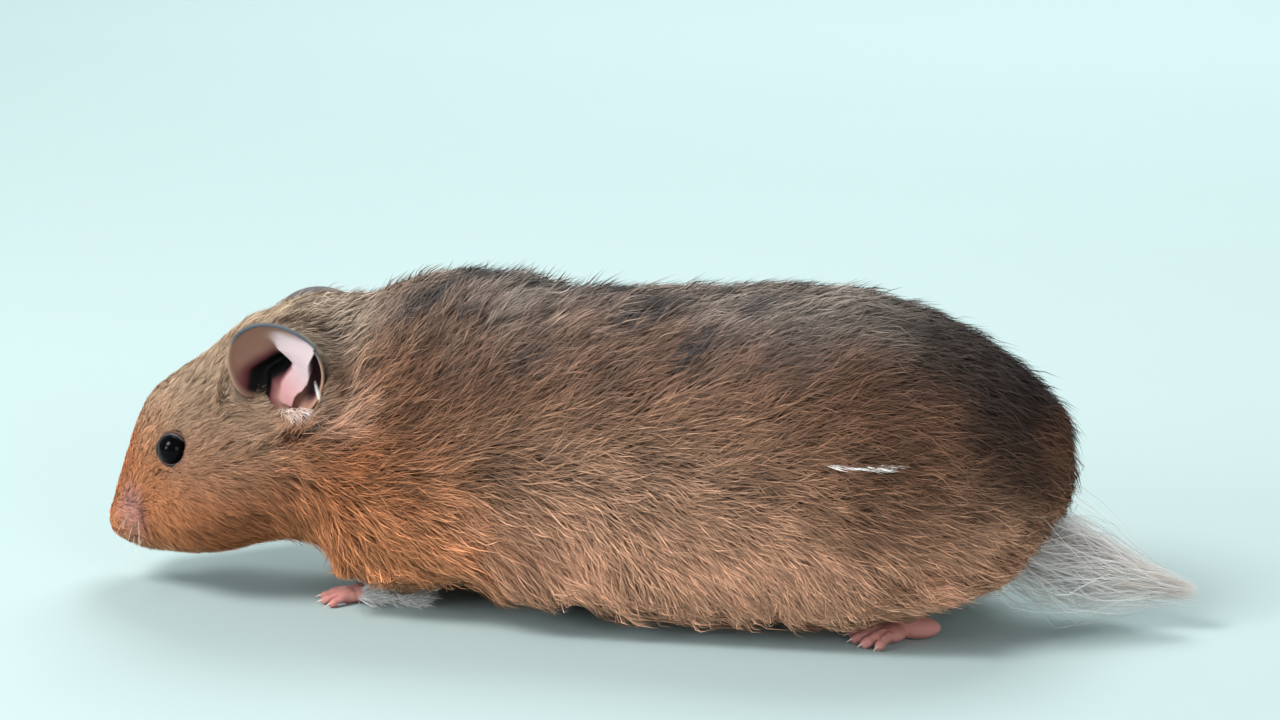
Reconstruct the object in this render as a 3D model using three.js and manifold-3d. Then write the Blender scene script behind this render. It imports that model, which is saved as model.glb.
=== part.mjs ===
// A long-haired Syrian hamster walking with its head low: a still, life-size model.
//
// Millimetres, +Z up, the floor at z = 0. The animal faces -X and its left side faces -Y.
// Lengths along the body are given as `at`, the distance behind the tip of the nose. The origin is on
// the floor, at the middle of the model's length and width.
//
// The head, neck and trunk are one loft whose surface is the outline of the coat. Thin cuts part it
// into nodes, and each leg takes its shoulder or haunch out of the same surface.

import * as THREE from 'three';
import { mergeVertices } from 'three/addons/utils/BufferGeometryUtils.js';
import Module from 'manifold-3d';

const wasm = await Module();
wasm.setup();

// ---- driving dimensions ------------------------------------------------------------------------

const GAP = 0.3; // clear distance between neighbouring solids
const BODY_SIDES = 24; // points round each section of the body
const FINE_SPANS = 7; // spans behind the nose that get an extra ring halfway

// Sections of the body: distance behind the nose, height of the back line, height of the belly line,
// half width, sag (how much wider the lower half is than the upper) and square (how boxy the lower
// half is: 0 is an ellipse).
const STATIONS = [
  { at: 2.0, top: 13.4, bottom: 10.8, half: 1.0, sag: 0, square: 0 },
  { at: 2.6, top: 17.0, bottom: 9.4, half: 3.7, sag: 0, square: 0.1 },
  { at: 3.6, top: 20.8, bottom: 8.2, half: 5.4, sag: 0.05, square: 0.1 },
  { at: 5.5, top: 26.6, bottom: 7.8, half: 7.3, sag: 0.15, square: 0.1 },
  { at: 8.6, top: 33.6, bottom: 6.4, half: 9.4, sag: 0.2, square: 0.1 },
  { at: 13.5, top: 38.0, bottom: 6.3, half: 11.8, sag: 0.25, square: 0.1 },
  { at: 19.5, top: 42.0, bottom: 6.6, half: 14.8, sag: 0.28, square: 0.1 },
  { at: 26.5, top: 48.0, bottom: 7.7, half: 17.0, sag: 0.22, square: 0.1 },
  { at: 34.0, top: 51.6, bottom: 9.3, half: 17.8, sag: 0.15, square: 0.1 },
  { at: 39.5, top: 53.0, bottom: 9.6, half: 18.3, sag: 0.15, square: 0.1 },
  { at: 43.5, top: 52.4, bottom: 9.4, half: 19.0, sag: 0.15, square: 0.15 },
  { at: 48.5, top: 52.4, bottom: 4.4, half: 19.8, sag: 0.2, square: 0.2 },
  { at: 56.0, top: 55.2, bottom: 3.4, half: 21.0, sag: 0.2, square: 0.25 },
  { at: 66.0, top: 56.8, bottom: 2.8, half: 22.2, sag: 0.2, square: 0.3 },
  { at: 75.0, top: 56.2, bottom: 2.2, half: 23.4, sag: 0.2, square: 0.35 },
  { at: 82.0, top: 54.0, bottom: 1.6, half: 24.2, sag: 0.2, square: 0.45 },
  { at: 92.0, top: 54.7, bottom: 1.2, half: 24.8, sag: 0.2, square: 0.55 },
  { at: 106.0, top: 55.3, bottom: 1.2, half: 25.4, sag: 0.2, square: 0.45 },
  { at: 122.0, top: 56.2, bottom: 1.4, half: 25.8, sag: 0.2, square: 0.45 },
  { at: 134.0, top: 55.6, bottom: 2.2, half: 25.4, sag: 0.2, square: 0.4 },
  { at: 144.0, top: 52.7, bottom: 3.2, half: 23.6, sag: 0.15, square: 0.35 },
  { at: 152.5, top: 48.6, bottom: 5.6, half: 20.6, sag: 0.1, square: 0.25 },
  { at: 159.5, top: 43.8, bottom: 9.2, half: 16.6, sag: 0.05, square: 0.1 },
  { at: 165.2, top: 38.6, bottom: 13.4, half: 11.6, sag: 0, square: 0 },
  { at: 167.8, top: 34.4, bottom: 18.0, half: 7.0, sag: 0, square: 0 },
];
const NOSE_POLE = { at: 1.8, z: 12.1 };
const RUMP_POLE = { at: 168.6, z: 26.5 };

// Round swellings (lift > 0) and hollows (lift < 0) on that loft. One with y > 0 is on both sides.
const FORMS = {
  whisker_pad: { at: 4.4, y: 5.4, z: 11.0, reach: 2.9, lift: 1.5 },
  lip_cleft: { at: 1.8, y: 0, z: 9.2, reach: 1.5, lift: -0.7 },
  chin: { at: 6.5, y: 0, z: 6.2, reach: 2.6, lift: 0.6 },
  bridge_side: { at: 6.5, y: 6.6, z: 22.0, reach: 3.4, lift: -0.8 },
  eye_hollow: { at: 15.9, y: 11.6, z: 26.5, reach: 3.3, lift: -0.9 },
  brow: { at: 15.6, y: 9.4, z: 32.4, reach: 3.4, lift: 0.7 },
  cheek: { at: 21.0, y: 15.2, z: 15.0, reach: 7.5, lift: 2.2 },
  nape: { at: 38.0, y: 0, z: 51.0, reach: 6.0, lift: -0.8 },
  throat: { at: 33.0, y: 0, z: 9.0, reach: 5.5, lift: -1.6 },
  shoulder: { at: 55.0, y: 20.5, z: 24.0, reach: 11.0, lift: 1.6 },
  elbow: { at: 49.0, y: 14.5, z: 8.5, reach: 5.5, lift: 1.6 },
  waist: { at: 88.0, y: 24.5, z: 30.0, reach: 13.0, lift: -1.0 },
  haunch: { at: 131.0, y: 25.5, z: 24.0, reach: 15.0, lift: 2.0 },
};

// Cuts across the body: where each one crosses the middle height, and how far its top leans back.
const CUTS = [
  { name: 'head', at: 42.0, lean: 0.3 },
  { name: 'neck', at: 52.0, lean: 0.15 },
  { name: 'chest', at: 84.0, lean: 0 },
  { name: 'belly', at: 110.0, lean: 0 },
];
const TRUNK_NAMES = [...CUTS.map((cut) => cut.name), 'rump'];

const EYE = { at: 15.9, y: 10.9, z: 26.5, radius: 2.7 };
const NOSE = { at: 2.9, z: 11.8, radii: [1.7, 2.3, 1.7] };

// An ear is a cup with its opening outwards. Across runs from its front edge to its back edge.
const EAR = {
  base: { at: 34.8, y: 12.8, z: 32.9 },
  width: 17.6,
  height: 18.6,
  thick: 1.0,
  cup: 4.2,
  splay: 0.24, // how far the top leans outwards, in radians
  turn: 0.16, // how far the opening turns forwards
  swept: 0.1, // how far the top leans back
  spokes: 20,
  hoops: 4,
};
const EARS = [
  { name: 'ear_left', side: -1, drop: 0 },
  { name: 'ear_right', side: 1, drop: 1.3 },
];
// The hollow of the ear and the fold of its back edge, in the ear's own across and up.
const CONCHA = { across: -2.9, up: 7.2, reach: 2.4, depth: 2.6 };
const FOLD = { height: 3.0, low: 1.5, high: 15.5, edge: 4.9, bow: 1.5, width: 5.2, drop: 0.9 };

// Legs, left side of the body; the right ones are mirrored with their own places along it.
// `core` is the shoulder or haunch that the leg takes out of the body, and `bones` its lower line.
const FORELEG = {
  core: { at: 12, y: 18.5, z: 17, radii: [9, 9.5, 15] },
  bones: [
    { at: 13, y: 14.5, z: 13, radius: 5.2 },
    { at: 11, y: 11.0, z: 6.2, radius: 3.4 },
    { at: 6, y: 8.4, z: 3.3, radius: 2.3 },
    { at: 1.8, y: 7.2, z: 2.4, radius: 1.9 },
  ],
};
const HINDLEG = {
  core: { at: -6, y: 23, z: 22, radii: [15, 12, 19] },
  bones: [
    { at: -8, y: 17.5, z: 15, radius: 7.5 },
    { at: -3, y: 15.5, z: 9.0, radius: 5.0 },
    { at: 1.2, y: 12.8, z: 5.4, radius: 3.2 },
    { at: 2.2, y: 11.8, z: 2.6, radius: 2.4 },
  ],
};
const LEGS = [
  { name: 'foreleg_left', kind: 'fore', side: -1, at: 46.8, heading: 0.3 },
  { name: 'foreleg_right', kind: 'fore', side: 1, at: 61.0, heading: 0.15 },
  { name: 'hindleg_left', kind: 'hind', side: -1, at: 142.0, heading: 0.5 },
  { name: 'hindleg_right', kind: 'hind', side: 1, at: 132.0, heading: 0.2 },
];

// Feet in their own frame: forwards along +X, the outer side along +Y, the sole on z = 0.
// `room` is the space over the foot that the coat leaves.
const FEET = {
  fore: {
    pads: [
      { x: 0.8, y: 0, z: 1.5, radii: [3.2, 2.4, 1.8] },
      { x: 2.8, y: 0, z: 1.3, radii: [2.2, 2.7, 1.5] },
    ],
    toes: [
      { y: -1.9, turn: -0.55, length: 3.1, radius: 0.8 },
      { y: -0.7, turn: -0.18, length: 4.1, radius: 0.85 },
      { y: 0.7, turn: 0.16, length: 4.1, radius: 0.85 },
      { y: 1.9, turn: 0.5, length: 3.3, radius: 0.8 },
    ],
    knuckle: 3.2,
    nail: 1.4,
    room: { x: 2.2, radii: [7.6, 5.2, 4.2] },
  },
  hind: {
    pads: [
      { x: 0.2, y: 0, z: 2.0, radii: [4.8, 2.4, 2.2] },
      { x: 4.8, y: 0, z: 1.5, radii: [3.2, 3.4, 1.8] },
    ],
    toes: [
      { y: -2.7, turn: -0.7, length: 3.0, radius: 0.95 },
      { y: -1.5, turn: -0.3, length: 4.4, radius: 1.05 },
      { y: 0, turn: 0, length: 4.8, radius: 1.05 },
      { y: 1.5, turn: 0.3, length: 4.5, radius: 1.05 },
      { y: 2.7, turn: 0.65, length: 3.2, radius: 0.95 },
    ],
    knuckle: 5.8,
    nail: 1.5,
    room: { x: 3.2, radii: [9.8, 6.8, 5.0] },
  },
};
const TOE_SIDES = 5;

// The short tail inside its long pale tuft: the tuft's outline.
const TAIL = [
  { at: 155, y: 0.5, z: 14.4, radius: 5.0 },
  { at: 164, y: 0.8, z: 12.6, radius: 7.2 },
  { at: 173, y: 0.8, z: 9.6, radius: 5.4 },
  { at: 182, y: 0.4, z: 7.2, radius: 2.8 },
  { at: 189, y: 0, z: 6.0, radius: 0.9 },
];

const COLOURS = {
  face: 0xb98358,
  back: 0x8d7560,
  flank: 0xa5754f,
  rump: 0x5f4c3f,
  pale: 0xe6dccb,
  skin: 0xd9968f,
  ear: 0xc9a294,
  eye: 0x07070a,
};

// ---- solids ------------------------------------------------------------------------------------

// A closed geometry as a solid, whichever way its faces wind.
function solid(geometry) {
  const bare = geometry.clone();
  for (const name of Object.keys(bare.attributes)) {
    if (name !== 'position') bare.deleteAttribute(name);
  }
  const merged = mergeVertices(bare, 1e-4);
  const triVerts = new Uint32Array(merged.index.array);
  const vertProperties = new Float32Array(merged.attributes.position.array);
  const build = () => new wasm.Manifold(new wasm.Mesh({ numProp: 3, vertProperties, triVerts }));
  const made = build();
  if (made.volume() > 0) return made;
  for (let i = 0; i < triVerts.length; i += 3) {
    [triVerts[i + 1], triVerts[i + 2]] = [triVerts[i + 2], triVerts[i + 1]];
  }
  return build();
}

function geometryOf(made) {
  const mesh = made.getMesh();
  const geometry = new THREE.BufferGeometry();
  geometry.setAttribute('position', new THREE.BufferAttribute(new Float32Array(mesh.vertProperties), 3));
  geometry.setIndex(new THREE.BufferAttribute(new Uint32Array(mesh.triVerts), 1));
  return geometry;
}

const union = (solids) => solids.reduce((whole, one) => whole.add(one));

// The largest body of a solid, without the slivers that a cut can leave.
function largest(made) {
  return made.decompose().reduce((best, one) => (one.volume() > best.volume() ? one : best));
}

// A closed surface through rings of points, with a pole at each end.
function loft(start, rings, end) {
  const sides = rings[0].length;
  const points = [start, ...rings.flat(), end];
  const faces = [];
  const last = points.length - 1;
  const at = (ring, side) => 1 + ring * sides + (side % sides);
  for (let side = 0; side < sides; side += 1) {
    faces.push(0, at(0, side + 1), at(0, side));
    faces.push(last, at(rings.length - 1, side), at(rings.length - 1, side + 1));
    for (let ring = 0; ring < rings.length - 1; ring += 1) {
      const [a, b] = [at(ring, side), at(ring, side + 1)];
      const [c, d] = [at(ring + 1, side + 1), at(ring + 1, side)];
      faces.push(a, b, d, b, c, d);
    }
  }
  const geometry = new THREE.BufferGeometry().setFromPoints(points);
  geometry.setIndex(faces);
  return geometry;
}

// A round tube through points that each have a radius, with domed ends.
function tube(joints, sides, grow = 0, ringsPerSpan = 3) {
  const curve = new THREE.CatmullRomCurve3(joints.map((j) => new THREE.Vector3(j.x, j.y, j.z)));
  const radii = new THREE.SplineCurve(joints.map((j, i) => new THREE.Vector2(i, j.radius)));
  const count = (joints.length - 1) * ringsPerSpan;
  const frames = curve.computeFrenetFrames(count, false);
  const rings = [];
  for (let i = 0; i <= count; i += 1) {
    const centre = curve.getPoint(i / count);
    const radius = radii.getPoint(i / count).y + grow;
    const ring = [];
    for (let side = 0; side < sides; side += 1) {
      const angle = (2 * Math.PI * side) / sides;
      const across = frames.normals[i].clone().multiplyScalar(radius * Math.cos(angle));
      const around = frames.binormals[i].clone().multiplyScalar(radius * Math.sin(angle));
      ring.push(centre.clone().add(across).add(around));
    }
    rings.push(ring);
  }
  const dome = 0.6;
  const first = joints[0].radius + grow;
  const final = joints.at(-1).radius + grow;
  const start = curve.getPoint(0).addScaledVector(frames.tangents[0], -dome * first);
  const end = curve.getPoint(1).addScaledVector(frames.tangents[count], dome * final);
  return loft(start, rings, end);
}

function ellipsoid({ x, y, z }, radii, grow = 0, detail = 20) {
  return new THREE.SphereGeometry(1, detail, Math.round(detail * 0.7))
    .rotateX(Math.PI / 2)
    .scale(radii[0] + grow, radii[1] + grow, radii[2] + grow)
    .translate(x, y, z);
}

// ---- head, neck and trunk ----------------------------------------------------------------------

// The section at a share t of the way through the stations.
function sectionAt(t) {
  const along = (a, b) => new THREE.SplineCurve(STATIONS.map((s) => new THREE.Vector2(s[a], s[b]))).getPoint(t);
  const [line, girth, form] = [along('at', 'top'), along('bottom', 'half'), along('sag', 'square')];
  return { at: line.x, top: line.y, bottom: girth.x, half: girth.y, sag: form.x, square: form.y };
}

// One ring of the body, from the back line down the left side and up the right.
function bodyRing(section) {
  const middle = (section.top + section.bottom) / 2;
  const rise = (section.top - section.bottom) / 2;
  const boxy = 1 - section.square;
  const ring = [];
  for (let side = 0; side < BODY_SIDES; side += 1) {
    const angle = (2 * Math.PI * side) / BODY_SIDES;
    const power = Math.cos(angle) < 0 ? boxy : 1;
    const bent = (value) => Math.sign(value) * Math.abs(value) ** power;
    const wide = 1 - section.sag * Math.cos(angle);
    const y = -section.half * bent(Math.sin(angle)) * wide;
    ring.push(new THREE.Vector3(section.at, y, middle + rise * bent(Math.cos(angle))));
  }
  return ring;
}

// Moves each point of the body along its normal by the forms near it, and by `grow`.
function addForms(geometry, grow) {
  geometry.computeVertexNormals();
  const { position, normal } = geometry.attributes;
  const point = new THREE.Vector3();
  for (let i = 0; i < position.count; i += 1) {
    point.fromBufferAttribute(position, i);
    let lift = grow;
    for (const form of Object.values(FORMS)) {
      const near = Math.hypot(point.x - form.at, Math.abs(point.y) - form.y, point.z - form.z) / form.reach;
      lift += form.lift * Math.exp(-0.5 * near * near);
    }
    point.x += lift * normal.getX(i);
    point.y += lift * normal.getY(i);
    point.z += lift * normal.getZ(i);
    position.setXYZ(i, point.x, point.y, point.z);
  }
  return geometry;
}

function bodySolid(grow = 0) {
  const spans = STATIONS.length - 1;
  const rings = [];
  for (let span = 0; span <= spans; span += span < FINE_SPANS ? 0.5 : 1) {
    rings.push(bodyRing(sectionAt(span / spans)));
  }
  const pole = ({ at, z }) => new THREE.Vector3(at, 0, z);
  return solid(addForms(loft(pole(NOSE_POLE), rings, pole(RUMP_POLE)), grow));
}

// A thin slab across the body, which parts one node from the next.
function slab({ at, lean }) {
  const reach = 120;
  const middle = 30;
  return solid(new THREE.BoxGeometry(GAP, reach, reach).rotateY(lean).translate(at, 0, middle));
}

// ---- ears --------------------------------------------------------------------------------------

const smooth = THREE.MathUtils.smoothstep;

// How far the inner face of the ear stands out at a place on it, and its share of the way to the rim.
function earHeight(across, up, share) {
  const cup = EAR.cup * (share * share - 1);
  const hollow = Math.hypot(across - CONCHA.across, up - CONCHA.up) / CONCHA.reach;
  const level = (up - FOLD.low) / (FOLD.high - FOLD.low);
  const edge = FOLD.edge + FOLD.bow * Math.sin(Math.PI * level * 0.8) - 2 * (1 - smooth(up, 0, 5));
  const rise = smooth(across, edge - FOLD.width * (0.7 + 0.6 * level), edge - 0.6);
  const fall = 1 - smooth(across, edge, edge + FOLD.drop);
  const ends = smooth(up, 0, 3) * (1 - smooth(up, FOLD.high - 3, FOLD.high + 1));
  const fold = FOLD.height * rise * fall * ends;
  return cup - CONCHA.depth * Math.exp(-0.5 * hollow * hollow) + fold;
}

// A point of the ear's oval in its own frame: across along +X, up along +Z, the opening towards -Y.
function earPoint(spoke, share, heightOf) {
  const angle = (2 * Math.PI * spoke) / EAR.spokes;
  const across = 0.5 * EAR.width * share * Math.cos(angle) * (1 + 0.1 * Math.sin(angle));
  const up = 0.5 * EAR.height * (1 + share * Math.sin(angle));
  return new THREE.Vector3(across, -heightOf(across, up, Math.min(share, 1)), up);
}

// The back of the ear, which follows its cup with the ear's thickness.
function earBack(across, up, share) {
  return EAR.cup * (share * share - 1) - CONCHA.depth * (1 - share) - EAR.thick * (1.25 - 0.6 * share);
}

function earRings(heightOf, grow = 0) {
  const rings = [];
  const wider = 1 + (2 * grow) / EAR.width;
  for (let hoop = 1; hoop <= EAR.hoops; hoop += 1) {
    const ring = [];
    for (let spoke = 0; spoke < EAR.spokes; spoke += 1) {
      ring.push(earPoint(spoke, (wider * hoop) / EAR.hoops, heightOf));
    }
    rings.push(ring);
  }
  return rings;
}

const centroid = (ring) => ring.reduce((sum, p) => sum.add(p), new THREE.Vector3()).divideScalar(ring.length);

// Puts a solid made in the ear's frame on its side of the head.
function earPlaced(geometry, { side, drop }) {
  geometry.rotateY(EAR.swept).rotateX(EAR.splay).rotateZ(-EAR.turn);
  geometry.translate(EAR.base.at, -EAR.base.y, EAR.base.z - drop);
  if (side > 0) geometry.scale(1, -1, 1);
  return solid(geometry);
}

function earSolid(ear) {
  const [inner, outer] = [earRings(earHeight), earRings(earBack)];
  return earPlaced(loft(centroid(inner[0]), [...inner, ...outer.toReversed()], centroid(outer[0])), ear);
}

// The room that the head leaves for an ear: from behind its back face out to clear air.
function earRoom(ear) {
  const back = earRings((across, up, share) => earBack(across, up, share) - GAP, GAP);
  const front = back.at(-1).map((p) => new THREE.Vector3(p.x, -EAR.height, p.z));
  return earPlaced(loft(centroid(back[0]), [...back, front], centroid(front)), ear);
}

// ---- legs and feet -----------------------------------------------------------------------------

// A leg's point in the body's frame, from its `at` beside the leg's own place.
const placed = (leg, { at, y, z }) => ({ x: leg.at + at, y: leg.side * y, z });

function legCore(leg, grow = 0) {
  const { core } = leg.kind === 'fore' ? FORELEG : HINDLEG;
  return solid(ellipsoid(placed(leg, core), core.radii, grow, 12));
}

function legTube(leg, grow = 0) {
  const { bones } = leg.kind === 'fore' ? FORELEG : HINDLEG;
  const joints = bones.map((bone) => ({ ...placed(leg, bone), radius: bone.radius }));
  return solid(tube(joints, 8, grow, 2));
}

// One toe that tapers into its nail: an arch from the knuckle to the floor.
function toeTube(foot, { y, turn, length, radius }) {
  const along = (reach, z, share) => ({
    x: foot.knuckle - 1 + reach * Math.cos(turn),
    y: y + reach * Math.sin(turn),
    z,
    radius: radius * share,
  });
  const tip = length + foot.nail;
  const arch = [along(0, 1.5, 1), along(length * 0.55, 1.4, 0.95), along(length, 0.9, 0.85), along(tip, 0.45, 0.3)];
  return tube(arch, TOE_SIDES, 0, 1);
}

// Presses what lies under the floor flat onto it, as a weight-bearing sole is.
function onFloor(geometry) {
  const { position } = geometry.attributes;
  for (let i = 0; i < position.count; i += 1) position.setZ(i, Math.max(position.getZ(i), 0));
  return solid(geometry);
}

// Puts what is made in a foot's frame under the last bone of its leg.
function footPlaced(geometry, leg) {
  const { bones } = leg.kind === 'fore' ? FORELEG : HINDLEG;
  const ankle = placed(leg, bones.at(-1));
  if (leg.side > 0) geometry.scale(1, -1, 1);
  geometry.rotateZ(Math.PI - leg.side * leg.heading).translate(ankle.x, ankle.y, 0);
  return solid(geometry);
}

function footSolid(leg) {
  const foot = FEET[leg.kind];
  const pads = foot.pads.map((pad) => onFloor(ellipsoid(pad, pad.radii, 0, 8)));
  const toes = foot.toes.map((toe) => onFloor(toeTube(foot, toe)));
  return footPlaced(geometryOf(union([...pads, ...toes])), leg);
}

function footRoom(leg) {
  const { room } = FEET[leg.kind];
  return footPlaced(ellipsoid({ x: room.x, y: 0, z: 0 }, room.radii, 0, 12), leg);
}

// ---- the whole animal --------------------------------------------------------------------------

const nodes = new Map();

function buildAnimal() {
  const body = bodySolid();
  let rest = body;

  const tailJoints = TAIL.map(({ at, y, z, radius }) => ({ x: at, y, z, radius }));
  nodes.set('tail', { made: solid(tube(tailJoints, 10, 0, 2)), colour: COLOURS.pale });
  rest = rest.subtract(solid(tube(tailJoints, 10, GAP, 2)));

  for (const leg of LEGS) {
    const foot = footSolid(leg);
    const room = footRoom(leg);
    const upper = body.intersect(legCore(leg)).subtract(room);
    const limb = largest(union([upper, legTube(leg)]));
    const grown = union([legCore(leg, GAP), legTube(leg, GAP)]);
    rest = rest.subtract(grown).subtract(room);
    nodes.set(leg.name, { made: limb, colour: COLOURS.flank });
    nodes.set(leg.name.replace('leg', 'foot'), {
      made: largest(foot.subtract(legTube(leg, GAP))),
      colour: COLOURS.skin,
    });
  }

  const nose = (grow) => solid(ellipsoid({ x: NOSE.at, y: 0, z: NOSE.z }, NOSE.radii, grow, 10));
  nodes.set('nose', { made: nose(0), colour: COLOURS.skin });
  rest = rest.subtract(nose(GAP));

  for (const [suffix, side] of [['left', -1], ['right', 1]]) {
    const centre = { x: EYE.at, y: side * EYE.y, z: EYE.z };
    const ball = (grow) => solid(ellipsoid(centre, [EYE.radius, EYE.radius, EYE.radius], grow, 12));
    nodes.set(`eye_${suffix}`, { made: ball(0), colour: COLOURS.eye });
    rest = rest.subtract(ball(GAP));
  }
  for (const ear of EARS) {
    nodes.set(ear.name, { made: earSolid(ear), colour: COLOURS.ear });
    rest = rest.subtract(earRoom(ear));
  }

  const pieces = CUTS.reduce((whole, cut) => whole.subtract(slab(cut)), rest)
    .decompose()
    .filter((piece) => piece.volume() > 50)
    .sort((a, b) => a.boundingBox().min[0] - b.boundingBox().min[0]);
  TRUNK_NAMES.forEach((name, i) => {
    const colour = { head: COLOURS.face, belly: COLOURS.back, rump: COLOURS.rump }[name] ?? COLOURS.flank;
    nodes.set(name, { made: pieces[i], colour });
  });
}

buildAnimal();

const animal = new THREE.Group();
for (const [name, { made, colour }] of nodes) {
  const eye = name.startsWith('eye');
  const material = new THREE.MeshStandardMaterial({ color: colour, roughness: eye ? 0.08 : 0.85, metalness: 0 });
  const mesh = new THREE.Mesh(geometryOf(made), material);
  mesh.name = name;
  animal.add(mesh);
}

const middle = new THREE.Box3().setFromObject(animal).getCenter(new THREE.Vector3());
for (const mesh of animal.children) mesh.position.set(-middle.x, -middle.y, 0);

export default animal;
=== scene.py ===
"""A long-haired Syrian hamster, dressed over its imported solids: one skin, eyes, ears, paws and a coat.

Positions are worked out in millimetres in the row frame and become metres when a mesh is made. The
animal faces -X, its left side faces -Y and the floor is z = 0. `at` is the distance behind the nose.
"""
import math

import bmesh
import bpy
import numpy as np
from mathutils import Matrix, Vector
from mathutils.bvhtree import BVHTree


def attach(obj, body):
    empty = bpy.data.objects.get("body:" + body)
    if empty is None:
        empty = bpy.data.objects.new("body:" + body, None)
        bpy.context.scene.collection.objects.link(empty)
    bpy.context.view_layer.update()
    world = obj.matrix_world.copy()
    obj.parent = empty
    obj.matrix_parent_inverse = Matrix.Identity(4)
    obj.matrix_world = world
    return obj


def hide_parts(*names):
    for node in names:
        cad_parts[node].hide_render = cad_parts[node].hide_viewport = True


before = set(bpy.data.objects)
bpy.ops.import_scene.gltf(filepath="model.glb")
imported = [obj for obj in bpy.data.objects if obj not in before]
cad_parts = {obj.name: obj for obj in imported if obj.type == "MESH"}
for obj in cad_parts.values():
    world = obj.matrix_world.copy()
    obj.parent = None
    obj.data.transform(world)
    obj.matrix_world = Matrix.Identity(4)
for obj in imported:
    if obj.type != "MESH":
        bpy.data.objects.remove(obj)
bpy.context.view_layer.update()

MM = 0.001
NOSE_X = -95.3  # where `at` is 0
SEED = 11

FLESH = [
    "head", "neck", "chest", "belly", "rump",
    "foreleg_left", "foreleg_right", "hindleg_left", "hindleg_right",
]
SKIN_VOXEL = 0.8
SEAM_FILL = 0.25  # how far the solids grow to close the cuts between them before they fuse


# ---- camera, light and floor --------------------------------------------------------------------

CAMERA = dict(azimuth=10.0, elevation=14.0, distance=700.0, aim_z=43.1, lens=115.8)


def make_camera():
    data = bpy.data.cameras.new("camera")
    data.lens = CAMERA["lens"]
    data.clip_start = 0.01
    camera = bpy.data.objects.new("camera", data)
    bpy.context.collection.objects.link(camera)
    a, e = math.radians(CAMERA["azimuth"]), math.radians(CAMERA["elevation"])
    back = Vector((math.sin(a) * math.cos(e), -math.cos(a) * math.cos(e), math.sin(e)))
    camera.location = Vector((0, 0, CAMERA["aim_z"] * MM)) + back * CAMERA["distance"] * MM
    camera.rotation_euler = (-back).to_track_quat("-Z", "Y").to_euler()
    bpy.context.scene.camera = camera


def area_light(name, place, aim, size, power, colour):
    data = bpy.data.lights.new(name, "AREA")
    data.energy, data.size, data.color = power, size, colour
    lamp = bpy.data.objects.new(name, data)
    bpy.context.collection.objects.link(lamp)
    lamp.location = place
    lamp.rotation_euler = (Vector(aim) - Vector(place)).to_track_quat("-Z", "Y").to_euler()


def make_light():
    area_light("key", (-0.52, -0.44, 0.8), (0, 0, 0.02), 0.4, 10.2, (1.0, 0.985, 0.96))
    area_light("window", (-0.68, -0.62, 0.36), (-0.05, 0, 0.02), 0.3, 3.8, (0.86, 0.94, 1.0))
    area_light("fill", (0.45, -0.6, 0.3), (0.06, 0, 0.015), 0.35, 1.6, (0.97, 0.99, 1.0))
    area_light("backdrop", (0.1, 0.85, 1.0), (0.05, 0.75, 0), 0.8, 14.0, (0.97, 1.0, 1.0))
    world = bpy.data.worlds.new("studio")
    world.use_nodes = True
    background = world.node_tree.nodes["Background"]
    background.inputs["Color"].default_value = (0.95, 0.97, 1.0, 1)
    background.inputs["Strength"].default_value = 0.32
    bpy.context.scene.world = world
    bpy.context.scene.view_settings.view_transform = "Standard"


def make_floor():
    """A pale sheet that runs back from the animal and bends up behind it."""
    half, near, bend, radius, rise, steps = 8.0, -2.0, 0.9, 0.5, 2.2, 16
    profile = [(near, 0.0), (bend, 0.0)]
    for i in range(1, steps + 1):
        a = math.pi / 2 * i / steps
        profile.append((bend + radius * math.sin(a), radius * (1 - math.cos(a))))
    profile.append((bend + radius, rise))
    points = [(x, y, z) for y, z in profile for x in (-half, half)]
    faces = [(2 * i, 2 * i + 1, 2 * i + 3, 2 * i + 2) for i in range(len(profile) - 1)]
    mesh = bpy.data.meshes.new("floor")
    mesh.from_pydata(points, [], faces)
    mesh.shade_smooth()
    floor = bpy.data.objects.new("floor", mesh)
    bpy.context.collection.objects.link(floor)
    material, shader, links = new_material("floor_paper")
    shader.inputs["Roughness"].default_value = 0.8
    noise = add_node(material, "ShaderNodeTexNoise", Scale=9.0, Detail=3.0)
    tones = [(0.3, (0.4, 0.51, 0.51)), (0.7, (0.42, 0.54, 0.535))]
    paper = colour_ramp(material, noise.outputs["Fac"], tones)
    links.new(paper.outputs["Color"], shader.inputs["Base Color"])
    mesh.materials.append(material)


# ---- materials ----------------------------------------------------------------------------------

def new_material(name):
    """A material, its main shader and its links."""
    material = bpy.data.materials.new(name)
    material.use_nodes = True
    return material, material.node_tree.nodes["Principled BSDF"], material.node_tree.links


def add_node(material, kind, **inputs):
    node = material.node_tree.nodes.new(kind)
    for name, value in inputs.items():
        node.inputs[name.replace("_", " ")].default_value = value
    return node


def colour_ramp(material, source, stops):
    ramp = add_node(material, "ShaderNodeValToRGB")
    elements = ramp.color_ramp.elements
    while len(elements) < len(stops):
        elements.new(0.5)
    for element, (place, colour) in zip(elements, stops):
        element.position = place
        element.color = (*colour, 1)
    material.node_tree.links.new(source, ramp.inputs["Fac"])
    return ramp


def mix_colour(material, blend, factor, a, b):
    """A colour mix; factor, a and b are each a socket or a constant."""
    node = add_node(material, "ShaderNodeMix")
    node.data_type, node.blend_type = "RGBA", blend
    for socket, value in ((node.inputs[0], factor), (node.inputs[6], a), (node.inputs[7], b)):
        if isinstance(value, bpy.types.NodeSocket):
            material.node_tree.links.new(value, socket)
        else:
            socket.default_value = value
    return node.outputs[2]


def srgb(*levels):
    """Linear colour from 0-255 screen levels."""
    return tuple(((v / 255 + 0.055) / 1.055) ** 2.4 if v > 10 else v / 255 / 12.92 for v in levels)


def attribute_socket(material, name, output="Color"):
    node = add_node(material, "ShaderNodeAttribute")
    node.attribute_name = name
    return node.outputs[output]


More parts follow.
